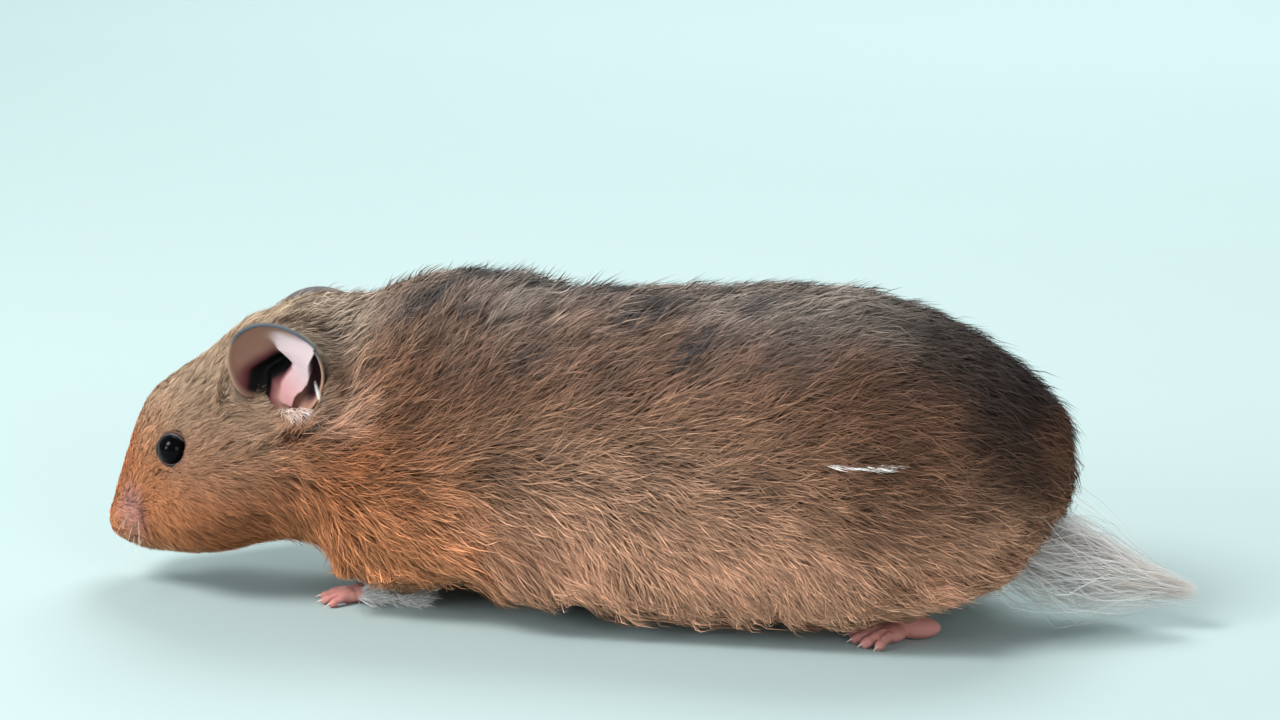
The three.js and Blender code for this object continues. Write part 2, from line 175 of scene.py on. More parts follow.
def fur_material(name, roughness=0.75):
    """Hair coloured by its tuft's own markings, darker at the root, with fine streaks along it."""
    material, shader, links = new_material(name)
    along = attribute_socket(material, "along", "Fac")
    fade = colour_ramp(material, along, [(0.1, (0, 0, 0)), (0.8, (1, 1, 1))])
    colour = mix_colour(
        material, "MIX", fade.outputs["Color"],
        attribute_socket(material, "root_colour"), attribute_socket(material, "tip_colour"),
    )
    noise = add_node(material, "ShaderNodeTexNoise", Scale=1800.0, Detail=2.0)
    streak = colour_ramp(material, noise.outputs["Fac"], [(0.3, (0.8, 0.8, 0.8)), (0.7, (1.15, 1.15, 1.15))])
    colour = mix_colour(material, "MULTIPLY", 1.0, colour, streak.outputs["Color"])
    links.new(colour, shader.inputs["Base Color"])
    shader.inputs["Roughness"].default_value = roughness
    shader.inputs["Specular IOR Level"].default_value = 0.2
    return material


def skin_material():
    """The hide under the fur: the coat's own colours, dulled, with a fine hairy grain."""
    material, shader, links = new_material("hide")
    noise = add_node(material, "ShaderNodeTexNoise", Scale=1500.0, Detail=4.0, Roughness=0.65)
    grain = colour_ramp(material, noise.outputs["Fac"], [(0.35, (0.6, 0.6, 0.6)), (0.7, (1, 1, 1))])
    tips = attribute_socket(material, "tip_colour")
    colour = mix_colour(material, "MULTIPLY", 1.0, tips, grain.outputs["Color"])
    links.new(colour, shader.inputs["Base Color"])
    shader.inputs["Roughness"].default_value = 0.85
    bump = add_node(material, "ShaderNodeBump", Strength=0.5, Distance=0.0004)
    links.new(noise.outputs["Fac"], bump.inputs["Height"])
    links.new(bump.outputs["Normal"], shader.inputs["Normal"])
    return material


# ---- fields over the body -----------------------------------------------------------------------

def ramp(value, start, end):
    """0 before start, 1 after end, and a smooth rise between."""
    t = np.clip((value - start) / (end - start), 0, 1)
    return t * t * (3 - 2 * t)


def cell_keys(cells):
    """A scrambled whole number for each cell of a grid."""
    return cells[:, 0] * 73856093 ^ cells[:, 1] * 19349663 ^ cells[:, 2] * 83492791


def lattice_noise(points, cell, seed):
    """Smooth noise in -1..1 with features of about one cell."""
    table = np.random.default_rng(seed).random(8192) * 2 - 1
    q = points / cell
    base = np.floor(q).astype(np.int64)
    f = q - base
    f = f * f * (3 - 2 * f)
    total = np.zeros(len(points))
    for corner in range(8):
        step = np.array([corner & 1, corner >> 1 & 1, corner >> 2 & 1])
        weight = np.prod(np.where(step, f, 1 - f), axis=1)
        total += weight * table[cell_keys(base + step) & 8191]
    return total


def unit(vectors):
    return vectors / np.maximum(np.linalg.norm(vectors, axis=-1, keepdims=True), 1e-9)


def filled(colour, count):
    """One colour repeated for each of count points."""
    return np.tile(np.array(colour), (count, 1))


# Length of the hair along the body, from the nose back.
HAIR_AT = [0, 6, 12, 20, 28, 36, 44, 54, 70, 110, 150, 168]
HAIR_LENGTH = [1.0, 1.5, 2.1, 3.2, 4.6, 6.5, 8.5, 10.0, 10.8, 10.8, 10.5, 9.5]
COAT_SHARE = 0.37  # the coat's depth as a share of the hair's length


def hair_length(points):
    """Hair length in mm: by region, and short round the eyes, ears and feet."""
    length = np.interp(points[:, 0] - NOSE_X, HAIR_AT, HAIR_LENGTH)
    low = 1 - ramp(points[:, 2], 6, 24)
    trunk = ramp(points[:, 0] - NOSE_X, 44, 60)
    length = length * (1 + 0.2 * low * trunk)
    mirrored = points * (1, -1, 1)
    for spot, near, far, least in SHORT_SPOTS:
        gap = np.minimum(
            np.linalg.norm(points - spot, axis=1), np.linalg.norm(mirrored - spot, axis=1)
        )
        length *= least + (1 - least) * ramp(gap, near, far)
    return length


def body_point(at, y, z):
    return np.array([at + NOSE_X, y, z])


def left_side(points):
    """The points, with those of the right side mirrored onto the left."""
    return np.where(points[:, 1:2] > 0, points * (1, -1, 1), points)


EYE = dict(place=body_point(15.9, -10.9, 26.5), radius=2.7)
# Legs: the side, where they join the body, the heading of the foot and the line down to the ankle.
FORE_LINE = [(11, 11.0, 6.2), (6, 8.4, 3.3), (1.8, 7.2, 2.4)]
HIND_LINE = [(-3, 15.5, 9.0), (1.2, 12.8, 5.4), (2.2, 11.8, 2.6)]
LEGS = {
    "foreleg_left": dict(kind="fore", side=-1, at=46.8, heading=0.3, line=FORE_LINE),
    "foreleg_right": dict(kind="fore", side=1, at=61.0, heading=0.15, line=FORE_LINE),
    "hindleg_left": dict(kind="hind", side=-1, at=142.0, heading=0.5, line=HIND_LINE),
    "hindleg_right": dict(kind="hind", side=1, at=132.0, heading=0.2, line=HIND_LINE),
}


def gap_to_line(points, line):
    """Distance from each point to a chain of straight lengths."""
    best = np.full(len(points), np.inf)
    for a, b in zip(line[:-1], line[1:]):
        share = np.clip(((points - a) @ (b - a)) / ((b - a) @ (b - a)), 0, 1)
        best = np.minimum(best, np.linalg.norm(points - a - share[:, None] * (b - a), axis=1))
    return best


def gap_to_legs(points):
    best = np.full(len(points), np.inf)
    for leg in LEGS.values():
        line = [body_point(leg["at"] + x, leg["side"] * y, z) for x, y, z in leg["line"]]
        best = np.minimum(best, gap_to_line(points, line))
    return best


# Where the hair is short: the middle of the spot, its inner and outer reach, the share left there.
SHORT_SPOTS = [
    (EYE["place"] - (0, 1.5, 0), 2.6, 7.0, 0.45),
    (body_point(2.0, 0, 12.0), 1.5, 6.0, 0.6),
]
# How steeply the coat sweeps up (+) or down (-) as it runs back, in degrees: centre and reach in mm.
SWEEPS = [
    (dict(at=60, z=46), (13, 12), 60),  # the shoulder, swept up over the back
    (dict(at=82, z=45), (14, 11), 40),
    (dict(at=112, z=47), (22, 9), 27),
    (dict(at=100, z=30), (40, 7), 4),
    (dict(at=88, z=20), (16, 7), -48),  # the flank behind the elbow, swept down
    (dict(at=72, z=14), (9, 5), 6),  # the whorl of the elbow
    (dict(at=125, z=16), (24, 9), -38),
    (dict(at=100, z=3), (60, 6), -62),
    (dict(at=46, z=14), (9, 8), -62),  # the breast
    (dict(at=48, z=34), (8, 10), 12),
    (dict(at=160, z=44), (14, 8), -30),
    (dict(at=162, z=26), (14, 12), -18),
    (dict(at=160, z=10), (14, 8), -30),
    (dict(at=22, z=14), (9, 8), -32),  # the cheek
    (dict(at=20, z=32), (9, 8), 14),
    (dict(at=6, z=10), (5, 4), -20),
    (dict(at=7, z=20), (5, 6), 40),
    (dict(at=14, z=40), (8, 8), 45),
    (dict(at=30, z=46), (8, 8), 18),
]


def sweep_of_coat(at, z):
    total, weight = np.zeros(len(at)), np.full(len(at), 1e-6)
    for centre, (rx, rz), angle in SWEEPS:
        near = np.exp(-0.8 * (((at - centre["at"]) / rx) ** 2 + ((z - centre["z"]) / rz) ** 2))
        total += near * angle
        weight += near
    return np.radians(total / weight)


def lie_of_coat(points, normals):
    """The way the hair lies at each point: backwards, with the sweeps of each region."""
    at = points[:, 0] - NOSE_X
    angle = sweep_of_coat(at, points[:, 2]) + 0.16 * lattice_noise(points, 7.0, 21)
    snout = 1 - ramp(at, 3, 12)
    flow = np.stack([np.cos(angle), np.clip(points[:, 1] / 3, -1, 1) * 0.3 * snout, np.sin(angle)], axis=1)
    flow -= normals * np.sum(flow * normals, axis=1, keepdims=True)
    return unit(flow)


# ---- markings -----------------------------------------------------------------------------------

# The colours of hair in this coat; the dark plum one is no hair but a painted shade for the creases of the
# whisker pad.
HAIR = dict(
    white=srgb(250, 247, 244), cream=srgb(230, 188, 160), apricot=srgb(205, 156, 126),
    amber=srgb(222, 150, 102), sand=srgb(192, 168, 142), fawn=srgb(160, 126, 102),
    rufous=srgb(158, 94, 56), russet=srgb(115, 78, 56), taupe=srgb(142, 134, 126),
    slate=srgb(60, 60, 64), sable=srgb(28, 25, 25), lilac=srgb(205, 155, 152), crease_shade=srgb(120, 70, 78),
)
# The markings of each side: the middle (at, z) and reach of each in mm, and its hair.
MARKINGS = {
    "muzzle": ((7, 14), (8, 9), "amber"),
    "cheek": ((23, 15), (9, 7), "rufous"),
    "temple": ((24, 29), (7, 7), "fawn"),
    "crown": ((20, 42), (14, 8), "sand"),
    "side of the neck": ((44, 24), (8, 8), "rufous"),
    "breast": ((52, 14), (9, 8), "amber"),
    "shoulder": ((61, 36), (10, 10), "russet"),
    "back": ((84, 53), (30, 7), "taupe"),
    "upper flank": ((92, 41), (18, 6), "russet"),
    "side": ((98, 30), (22, 6), "fawn"),
    "lower flank": ((96, 14), (20, 8), "apricot"),
    "haunch": ((130, 31), (12, 8), "russet"),
    "thigh": ((132, 15), (14, 7), "apricot"),
    "rump": ((152, 47), (13, 11), "sable"),
    "edge of the rump": ((167, 34), (5, 10), "russet"),
    "under the tail": ((157, 14), (9, 6), "apricot"),
}
# Patches over the markings, alike on both sides: the middle, the reach, the hair and its strength.
PATCHES = [
    (body_point(22, 0, 5.5), (9, 5, 3), "white", 1.0),  # the throat
    (body_point(53, -8.5, 2.6), (5, 3.4, 2.6), "white", 1.0),  # the wrists
    (body_point(67, -8.5, 2.6), (5, 3.4, 2.6), "white", 1.0),
    (body_point(7, -7, 14.5), (3.2, 5, 4.8), "lilac", 0.6),  # the pad of the whiskers, and painted shade along its creases
    # painted shade: a dark plum laid along each of the pad's two creases
    (body_point(9.2, -8, 14.0), (0.9, 5, 3.2), "crease_shade", 0.4),
    (body_point(6.6, -7, 15.6), (2.4, 5, 0.7), "crease_shade", 0.3),
    (body_point(44.5, -20, 36), (6.5, 8, 6), "cream", 0.6),  # the thin fur behind the ear
    (body_point(11, -6, 34), (2.6, 5, 3), "cream", 0.4),  # flecks of the brow
]
# The creases of the pad in the skin, alike on both sides: the middle, the reach and the depth.
CREASES = [
    (body_point(9.2, -7.4, 14.0), (1.2, 4, 3.4), 0.25),
    (body_point(6.6, -6.6, 15.6), (2.6, 4, 0.9), 0.15),
]


def blend(a, b, share):
    return a + (np.asarray(b) - a) * np.asarray(share)[:, None]


def tip_colours(points):
    """The coat's outer colour at each point, blended from the markings near it."""
    wander = 2.6 * np.stack([lattice_noise(points, 8.0, seed) for seed in (3, 4)], axis=1)
    at, z = points[:, 0] - NOSE_X + wander[:, 0], points[:, 2] + wander[:, 1]
    total, weight = np.zeros((len(points), 3)), np.full(len(points), 1e-9)
    for (ca, cz), (ra, rz), hair in MARKINGS.values():
        near = np.exp(-0.5 * (((at - ca) / ra) ** 2 + ((z - cz) / rz) ** 2)) + 1e-7
        total += near[:, None] * HAIR[hair]
        weight += near
    colour = total / weight[:, None]
    inner = 1 - ramp(np.abs(points[:, 1]), 9, 17)
    colour = blend(colour, HAIR["cream"], 0.8 * inner * (1 - ramp(points[:, 2], 5, 12)))
    for middle, reach, hair, strength in PATCHES:
        near = np.linalg.norm((left_side(points) - middle) / reach, axis=1)
        colour = blend(colour, HAIR[hair], strength * (1 - ramp(near, 0.25, 1.4)))
    mottle = 0.08 * lattice_noise(points, 4.0, 8) + 0.2 * lattice_noise(points, 9.0, 31) * ramp(at, 30, 50)
    return colour * (1 + mottle)[:, None]


def parting(points):
    """Where the coat of the back opens to its slate under-fur, 0 to 1: streaks that rise backwards."""
    at, z = points[:, 0] - NOSE_X, points[:, 2]
    tilt = math.radians(38)
    along = at * math.cos(tilt) + z * math.sin(tilt)
    across = z * math.cos(tilt) - at * math.sin(tilt)
    streak = lattice_noise(np.stack([along / 9, across / 2.6, points[:, 1] / 6], axis=1), 1.0, 17)
    place = ramp(z, 34, 44) * ramp(at, 44, 54) * (1 - ramp(at, 104, 130))
    return ramp(streak, 0.05, 0.4) * place


def root_colours(points, tips):
    """The slate under-fur of the back, and a deeper shade of the tips below and on the face."""
    at = points[:, 0] - NOSE_X
    deep = tips * (0.8 - 0.38 * ramp(at, 20, 50))[:, None]
    return blend(deep, np.array(HAIR["slate"]) * 0.6, 0.6 * ramp(at, 38, 52) * ramp(points[:, 2], 14, 34))


# ---- skin ---------------------------------------------------------------------------------------

def mesh_arrays(mesh):
    """Vertex positions in mm, vertex normals and triangles of a mesh."""
    mesh.calc_loop_triangles()
    points = np.empty(len(mesh.vertices) * 3)
    mesh.vertices.foreach_get("co", points)
    normals = np.empty(len(mesh.vertices) * 3)
    mesh.vertices.foreach_get("normal", normals)
    triangles = np.empty(len(mesh.loop_triangles) * 3, dtype=np.int64)
    mesh.loop_triangles.foreach_get("vertices", triangles)
    return points.reshape(-1, 3) / MM, normals.reshape(-1, 3), triangles.reshape(-1, 3)


def set_points(mesh, points):
    mesh.vertices.foreach_set("co", (points * MM).astype(np.float32).ravel())
    mesh.update()


def through_modifiers(obj):
    """Replaces an object's mesh by what its modifiers make of it."""
    graph = bpy.context.evaluated_depsgraph_get()
    mesh = bpy.data.meshes.new_from_object(obj.evaluated_get(graph))
    obj.modifiers.clear()
    obj.data = mesh


def smoothed(obj, rounds):
    if rounds:
        smooth = obj.modifiers.new("smooth", "SMOOTH")
        smooth.factor, smooth.iterations = 0.5, rounds
    through_modifiers(obj)
    obj.data.shade_smooth()


def fused(name, joined, voxel, rounds):
    """One smooth closed mesh round all the shells of a bmesh, which is freed."""
    mesh = bpy.data.meshes.new(name)
    joined.to_mesh(mesh)
    joined.free()
    obj = bpy.data.objects.new(name, mesh)
    bpy.context.collection.objects.link(obj)
    remesh = obj.modifiers.new("fuse", "REMESH")
    remesh.mode, remesh.voxel_size = "VOXEL", voxel * MM
    smoothed(obj, rounds)
    return obj


def fused_flesh():
    """The solids of flesh, grown a little to meet, as one closed mesh."""
    joined = bmesh.new()
    for name in FLESH:
        joined.from_mesh(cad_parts[name].data)
    bmesh.ops.remove_doubles(joined, verts=joined.verts, dist=1e-6)
    joined.normal_update()
    for vert in joined.verts:
        vert.co += vert.normal * SEAM_FILL * MM
    return fused("skin", joined, SKIN_VOXEL, 0)


def add_attribute(mesh, name, kind, values):
    layer = mesh.attributes.new(name, kind, "POINT")
    key = {"FLOAT": "value", "FLOAT_COLOR": "color", "FLOAT_VECTOR": "vector"}[kind]
    layer.data.foreach_set(key, np.ascontiguousarray(values, dtype=np.float32).ravel())


def dressed(obj, replaces=()):
    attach(obj, "root")
    if replaces:
        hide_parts(*replaces)
    return obj


def with_alpha(colours):
    return np.hstack([colours, np.ones((len(colours), 1))])


def gap_to_ears(points):
    """Distance to the nearer ear, up to 8 mm."""
    best = np.full(len(points), 8.0)
    for name in ("ear_left", "ear_right"):
        ear = BVHTree.FromPolygons(*polygons(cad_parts[name].data))
        near = np.flatnonzero(np.abs(points[:, 0] - (EAR["base"][0] + NOSE_X)) < 20)
        found = [ear.find_nearest(points[i] * MM, 8.0 * MM)[3] for i in near]
        best[near] = np.minimum(best[near], [8.0 if gap is None else gap / MM for gap in found])
    return best


def behind_ears(points):
    """The points, with those in front of an ear's inner face moved in behind its outer one."""
    for side in ("left", "right"):
        local = body_to_ear(points, side)
        across, up, height = local[:, 0], local[:, 2], -local[:, 1]
        share = np.hypot(across / (0.5 * EAR["width"]), up / (0.5 * EAR["height"]) - 1)
        inner = ear_inner(across, up, np.minimum(share, 1))
        behind = np.minimum(ear_outer(np.minimum(share, 1)), inner - EAR["least"]) - 0.5
        moved = (share < 0.98) & (up > 2.2) & (height > behind) & (height < 5)
        local[moved, 1] = -behind[moved]
        points = np.where(moved[:, None], ear_to_body(local, side), points)
    return points


def make_skin():
    """The hide: the fused solids, smoothed and then sunk by the coat's depth."""
    skin = fused_flesh()
    outside = BVHTree.FromPolygons(*polygons(skin.data))
    for rounds, firm in ((12, 1.0), (5, 0.7)):
        smoothed(skin, rounds)
        points, normals, _ = mesh_arrays(skin.data)
        depth = COAT_SHARE * hair_length(points) + SEAM_FILL
        depth *= 0.2 + 0.8 * ramp(gap_to_legs(points), 3.5, 8)
        depth *= 0.12 + 0.88 * ramp(gap_to_ears(points), 0.6, 4.5)
        found = [outside.find_nearest(p * MM) for p in points]
        nearest = np.array([f[0][:] for f in found]) / MM
        facing = np.array([f[1][:] for f in found])
        above = np.sum((points - nearest) * facing, axis=1)
        points -= normals * (firm * (depth + above))[:, None]
        set_points(skin.data, points)
    smoothed(skin, 2)
    points, normals, _ = mesh_arrays(skin.data)
    for middle, reach, depth in CREASES:
        near = np.linalg.norm((left_side(points) - middle) / reach, axis=1)
        points = points - normals * (depth * np.exp(-0.5 * near ** 2))[:, None]
    lift = np.maximum(hem_height(points) + 0.9 - points[:, 2], 0) * ramp(points[:, 0] - NOSE_X, 143, 149)
    points = behind_ears(points + lift[:, None] * (0, 0, 1))
    set_points(skin.data, points)
    add_attribute(skin.data, "tip_colour", "FLOAT_COLOR", with_alpha(tip_colours(points) * 0.7))
    skin.data.materials.clear()
    skin.data.materials.append(skin_material())
    return dressed(skin, FLESH)


def polygons(mesh):
    """Vertices and triangles of a mesh, in metres, as lists."""
    points, _, triangles = mesh_arrays(mesh)
    return (points * MM).tolist(), triangles.tolist()


# ---- coat ---------------------------------------------------------------------------------------

LONG_STEPS, SHORT_STEPS = np.array([0.0, 0.34, 0.7, 1.0]), np.array([0.0, 0.5, 1.0])


def scatter(points, normals, triangles, density, rng):
    """Random places on a mesh, density of them to a square mm: positions and normals."""
    corners = points[triangles]
    cross = np.cross(corners[:, 1] - corners[:, 0], corners[:, 2] - corners[:, 0])
    expected = 0.5 * np.linalg.norm(cross, axis=1) * density(corners.mean(axis=1))
    chosen = np.repeat(np.arange(len(triangles)), rng.poisson(expected))
    a, b = rng.random(len(chosen)), rng.random(len(chosen))
    flip = a + b > 1
    a[flip], b[flip] = 1 - a[flip], 1 - b[flip]
    w = np.stack([1 - a - b, a, b], axis=1)[:, :, None]
    places = (corners[chosen] * w).sum(axis=1)
    return places, unit((normals[triangles][chosen] * w).sum(axis=1))


class NearSkin:
    """Looks up the skin's nearest point from a grid of cells round it, each of which knows its own."""

    def __init__(self, points, normals, cell=0.8, reach=12):
        self.points, self.normals, self.cell = points, normals, cell
        self.low = points.min(axis=0) - cell * (reach + 2)
        shape = np.ceil((np.ptp(points, axis=0)) / cell).astype(int) + 2 * (reach + 2) + 1
        self.shape = shape
        owner = np.full(shape, -1, dtype=np.int64)
        ids = self.cells(points)
        owner[ids[:, 0], ids[:, 1], ids[:, 2]] = np.arange(len(points))
        for _ in range(reach):
            for axis in range(3):
                for step in (1, -1):
                    beside = np.roll(owner, step, axis=axis)
                    spots = np.argwhere((beside >= 0) & (beside != owner))
                    old = owner[spots[:, 0], spots[:, 1], spots[:, 2]]
                    new = beside[spots[:, 0], spots[:, 1], spots[:, 2]]
                    middle = (spots + 0.5) * cell + self.low
                    far = np.where(old < 0, np.inf, np.sum((points[old] - middle) ** 2, axis=1))
                    closer = np.sum((points[new] - middle) ** 2, axis=1) < far
                    spots = spots[closer]
                    owner[spots[:, 0], spots[:, 1], spots[:, 2]] = new[closer]
        self.owner = owner

    def cells(self, places):
        return np.clip(((places - self.low) / self.cell).astype(int), 0, self.shape - 1)

    def value(self, values, places):
        ids = self.cells(places)
        return values[self.owner[ids[:, 0], ids[:, 1], ids[:, 2]]]

    def find(self, places):
        """The nearest skin point and the way out of the skin there."""
        ids = self.cells(places)
        found = self.owner[ids[:, 0], ids[:, 1], ids[:, 2]]
        return self.points[found], self.normals[found]


JITTER_KEYS = (1103515245, 12345679, 40503)


def clump_ids(places, cell, seed):
    """Groups places by the nearest point of a jittered grid."""
    base = np.floor(places / cell).astype(np.int64)
    best = np.full(len(places), np.inf)
    owner = np.zeros(len(places), dtype=np.int64)
    for ix in (-1, 0, 1):
        for iy in (-1, 0, 1):
            for iz in (-1, 0, 1):
                c = base + (ix, iy, iz)
                key = (cell_keys(c) ^ seed * 2654435761) & 0xFFFFFFF
                jitter = np.stack([(key * k >> 7 & 1023) / 1023 for k in JITTER_KEYS], axis=1)
                gap = np.linalg.norm((c + jitter) * cell - places, axis=1)
                closer = gap < best
                best[closer], owner[closer] = gap[closer], key[closer]
    return np.unique(owner, return_inverse=True)[1]


def per_clump(rng, middle, spread, ids):
    """One random value for each clump, given to all its members."""
    return rng.normal(middle, spread, ids.max() + 1)[ids]


def clump_means(ids, values):
    """For each member, the mean of the values over its clump."""
    counts = np.bincount(ids)
    return np.stack([np.bincount(ids, values[:, k]) / counts for k in range(values.shape[1])], axis=1)[ids]


def turned(vectors, axes, angle):
    """Each vector turned about its axis, which it is at right angles to."""
    c, s = np.cos(angle)[:, None], np.sin(angle)[:, None]
    return vectors * c + np.cross(axes, vectors) * s


# How far from the middle the coat reaches at each height.
SIDE_Z, SIDE_REACH = [0, 5, 12, 24, 40], [23.2, 24.6, 26.8, 28.4, 28.6]
# How high above the floor the locks of the sides end, and how much lower for each mm further in.
HEM_AT = [44, 50, 60, 72, 82, 89, 100, 128, 136, 145, 155, 162, 167]
HEM_Z = [8.8, 8.4, 8.0, 7.0, 6.0, 5.0, 4.7, 5.1, 6.2, 7.6, 10.5, 15.0, 20.0]
HEM_SIDE, HEM_SLOPE = 24.0, 0.25


def hem_height(points):
    return np.interp(points[:, 0] - NOSE_X, HEM_AT, HEM_Z) - HEM_SLOPE * (HEM_SIDE - np.abs(points[:, 1]))


NOTCH_CELL, NOTCH_DEPTH = (4.6, 14, 200), 2.6  # the notches between the locks of the hem, in mm


def on_low_sides(points):
    """1 on the lower sides, where the coat hangs in locks, and 0 above them and at both ends."""
    at, z = points[:, 0] - NOSE_X, points[:, 2]
    return (1 - ramp(z, 9, 22)) * ramp(at, 58, 74) * (1 - ramp(at, 150, 164))


def gather_into_locks(paths, fine, broad, rng, shares):
    """Draws the strands of each clump together and keeps them within the sides and above the hem."""
    places = paths[:, 0].copy()
    at, z, low = places[:, 0] - NOSE_X, places[:, 2], on_low_sides(places)
    off_fine, off_broad = places - clump_means(fine, places), places - clump_means(broad, places)
    pull_fine = (0.34 + 0.25 * low) * rng.uniform(0.3, 1.4, fine.max() + 1)[fine]
    pull_broad = (0.14 + 0.55 * low) * rng.uniform(0.3, 1.3, broad.max() + 1)[broad]
    ragged = per_clump(rng, 0, 0.6, broad) + per_clump(rng, 0, 0.9, fine)
    ragged += rng.normal(0, 0.4, len(places))
    soft = 0.2 + 2.6 * low
    for i, t in enumerate(shares):
        gather = (pull_fine * t ** 1.3)[:, None] * off_fine
        paths[:, i] -= gather + (pull_broad * t ** 1.5)[:, None] * off_broad
        notch = ramp(lattice_noise(paths[:, i] / NOTCH_CELL, 1.0, 51), 0.0, 0.5)
        hem = hem_height(paths[:, i]) + (ragged + NOTCH_DEPTH * notch) * ramp(at, 44, 60)
        floor_gap = np.maximum(0.4, np.minimum(hem, z - 1.2)) * ramp(at, 38, 48) + 0.3
        drop = paths[:, i, 2] - floor_gap
        over = np.abs(paths[:, i, 1]) - np.interp(paths[:, i, 2], SIDE_Z, SIDE_REACH)
        paths[:, i, 1] -= np.sign(paths[:, i, 1]) * 0.85 * np.maximum(over, 0)
        eased = soft * np.exp(np.minimum(drop / soft, 1) - 1)
        paths[:, i, 2] = floor_gap + np.where(drop > soft, drop, eased)


FINE_CLUMP, BROAD_CLUMP = 1.5, 5.2  # mm across
STRAY_SHARE = 0.2  # the share of the strands that stand up a little


def grow_strands(places, normals, rng, length, near_skin, shares):
    """Strands that follow the skin: their paths, the tangent across each, the normals to shade them
    with and the small clump each belongs to."""
    count = len(places)
    at, z = places[:, 0] - NOSE_X, places[:, 2]
    fine, broad = clump_ids(places, FINE_CLUMP, 1), clump_ids(places, BROAD_CLUMP, 2)
    lie = lie_of_coat(places, normals)
    loose = ramp(length, 1.5, 7)
    withers = ramp(at, 48, 66) * (1 - ramp(at, 74, 90)) * ramp(z, 34, 48)
    low = on_low_sides(places)
    sway = per_clump(rng, 0, 0.13, broad) + per_clump(rng, 0, 0.13, fine)
    sway = (sway + rng.normal(0, 0.14, count)) * (0.5 + 0.5 * loose)
    lie = turned(lie, normals, sway)
    length = length * (1 + rng.normal(0, 0.12, count)) * (1 + per_clump(rng, 0, 0.08, fine))
    length = length * (1 + low * per_clump(rng, 0.1, 0.16, broad))
    start = np.radians(22 + 20 * loose + 8 * withers)
    end = np.radians(4 + 12 * loose + 22 * withers)
    chin = np.exp(-(((at - 8) / 6) ** 2)) * (1 - ramp(z, 8, 13))
    stray = rng.random(count) < STRAY_SHARE
    lift = rng.normal(0, 0.09, count)
    lift = lift + (per_clump(rng, 0, 0.07, fine) + 0.3 * stray) * loose + 0.5 * chin
    bow = rng.normal(0, 0.25, count) + per_clump(rng, 0, 0.2, fine)
    rough = np.abs(rng.normal(0, 0.7, count))
    top = COAT_SHARE * hair_length(places) + chin + loose * (0.3 - 0.6 * withers + rough)
    paths = np.empty((count, len(shares), 3))
    shading = np.empty((count, len(shares), 3))
    paths[:, 0], shading[:, 0] = places, normals
    height, way, out = np.zeros(count), lie, normals
    for i in range(1, len(shares)):
        middle = (shares[i] + shares[i - 1]) / 2
        angle = np.clip(start + (end - start) * middle + lift, 0.0, 1.2)
        step = (shares[i] - shares[i - 1]) * length
        height = np.minimum(height + step * np.sin(angle), top)
        ahead = paths[:, i - 1] + way * (step * np.cos(angle))[:, None]
        ahead += out * (step * np.sin(angle))[:, None]
        below, found = near_skin.find(ahead)
        hang = low * ramp(-found[:, 2], -0.35, 0.25) * ramp(np.abs(places[:, 1]), 9, 14)
        level = np.sum((ahead - below) * found, axis=1)
        settle = np.clip(height - level, -0.35 * step - 0.3, 0.35 * step + 0.3)
        ahead += found * (settle * (1 - hang))[:, None]
        out = unit(found * (1 - hang[:, None]) + out * hang[:, None])
        paths[:, i], shading[:, i] = ahead, out
        bend = lie_of_coat(paths[:, i], out)
        way = unit(0.6 * (way - out * np.sum(way * out, axis=1, keepdims=True)) + 0.4 * bend)
        way = unit(way + np.array([0, 0, -0.8]) * hang[:, None])
        way = turned(way, out, bow * loose * (shares[i] - shares[i - 1]) * 2)
    gather_into_locks(paths, fine, broad, rng, shares)
    across = turned(unit(np.cross(lie, normals)), lie, rng.uniform(-1.0, 1.0, count))
    return paths, across, shading, fine


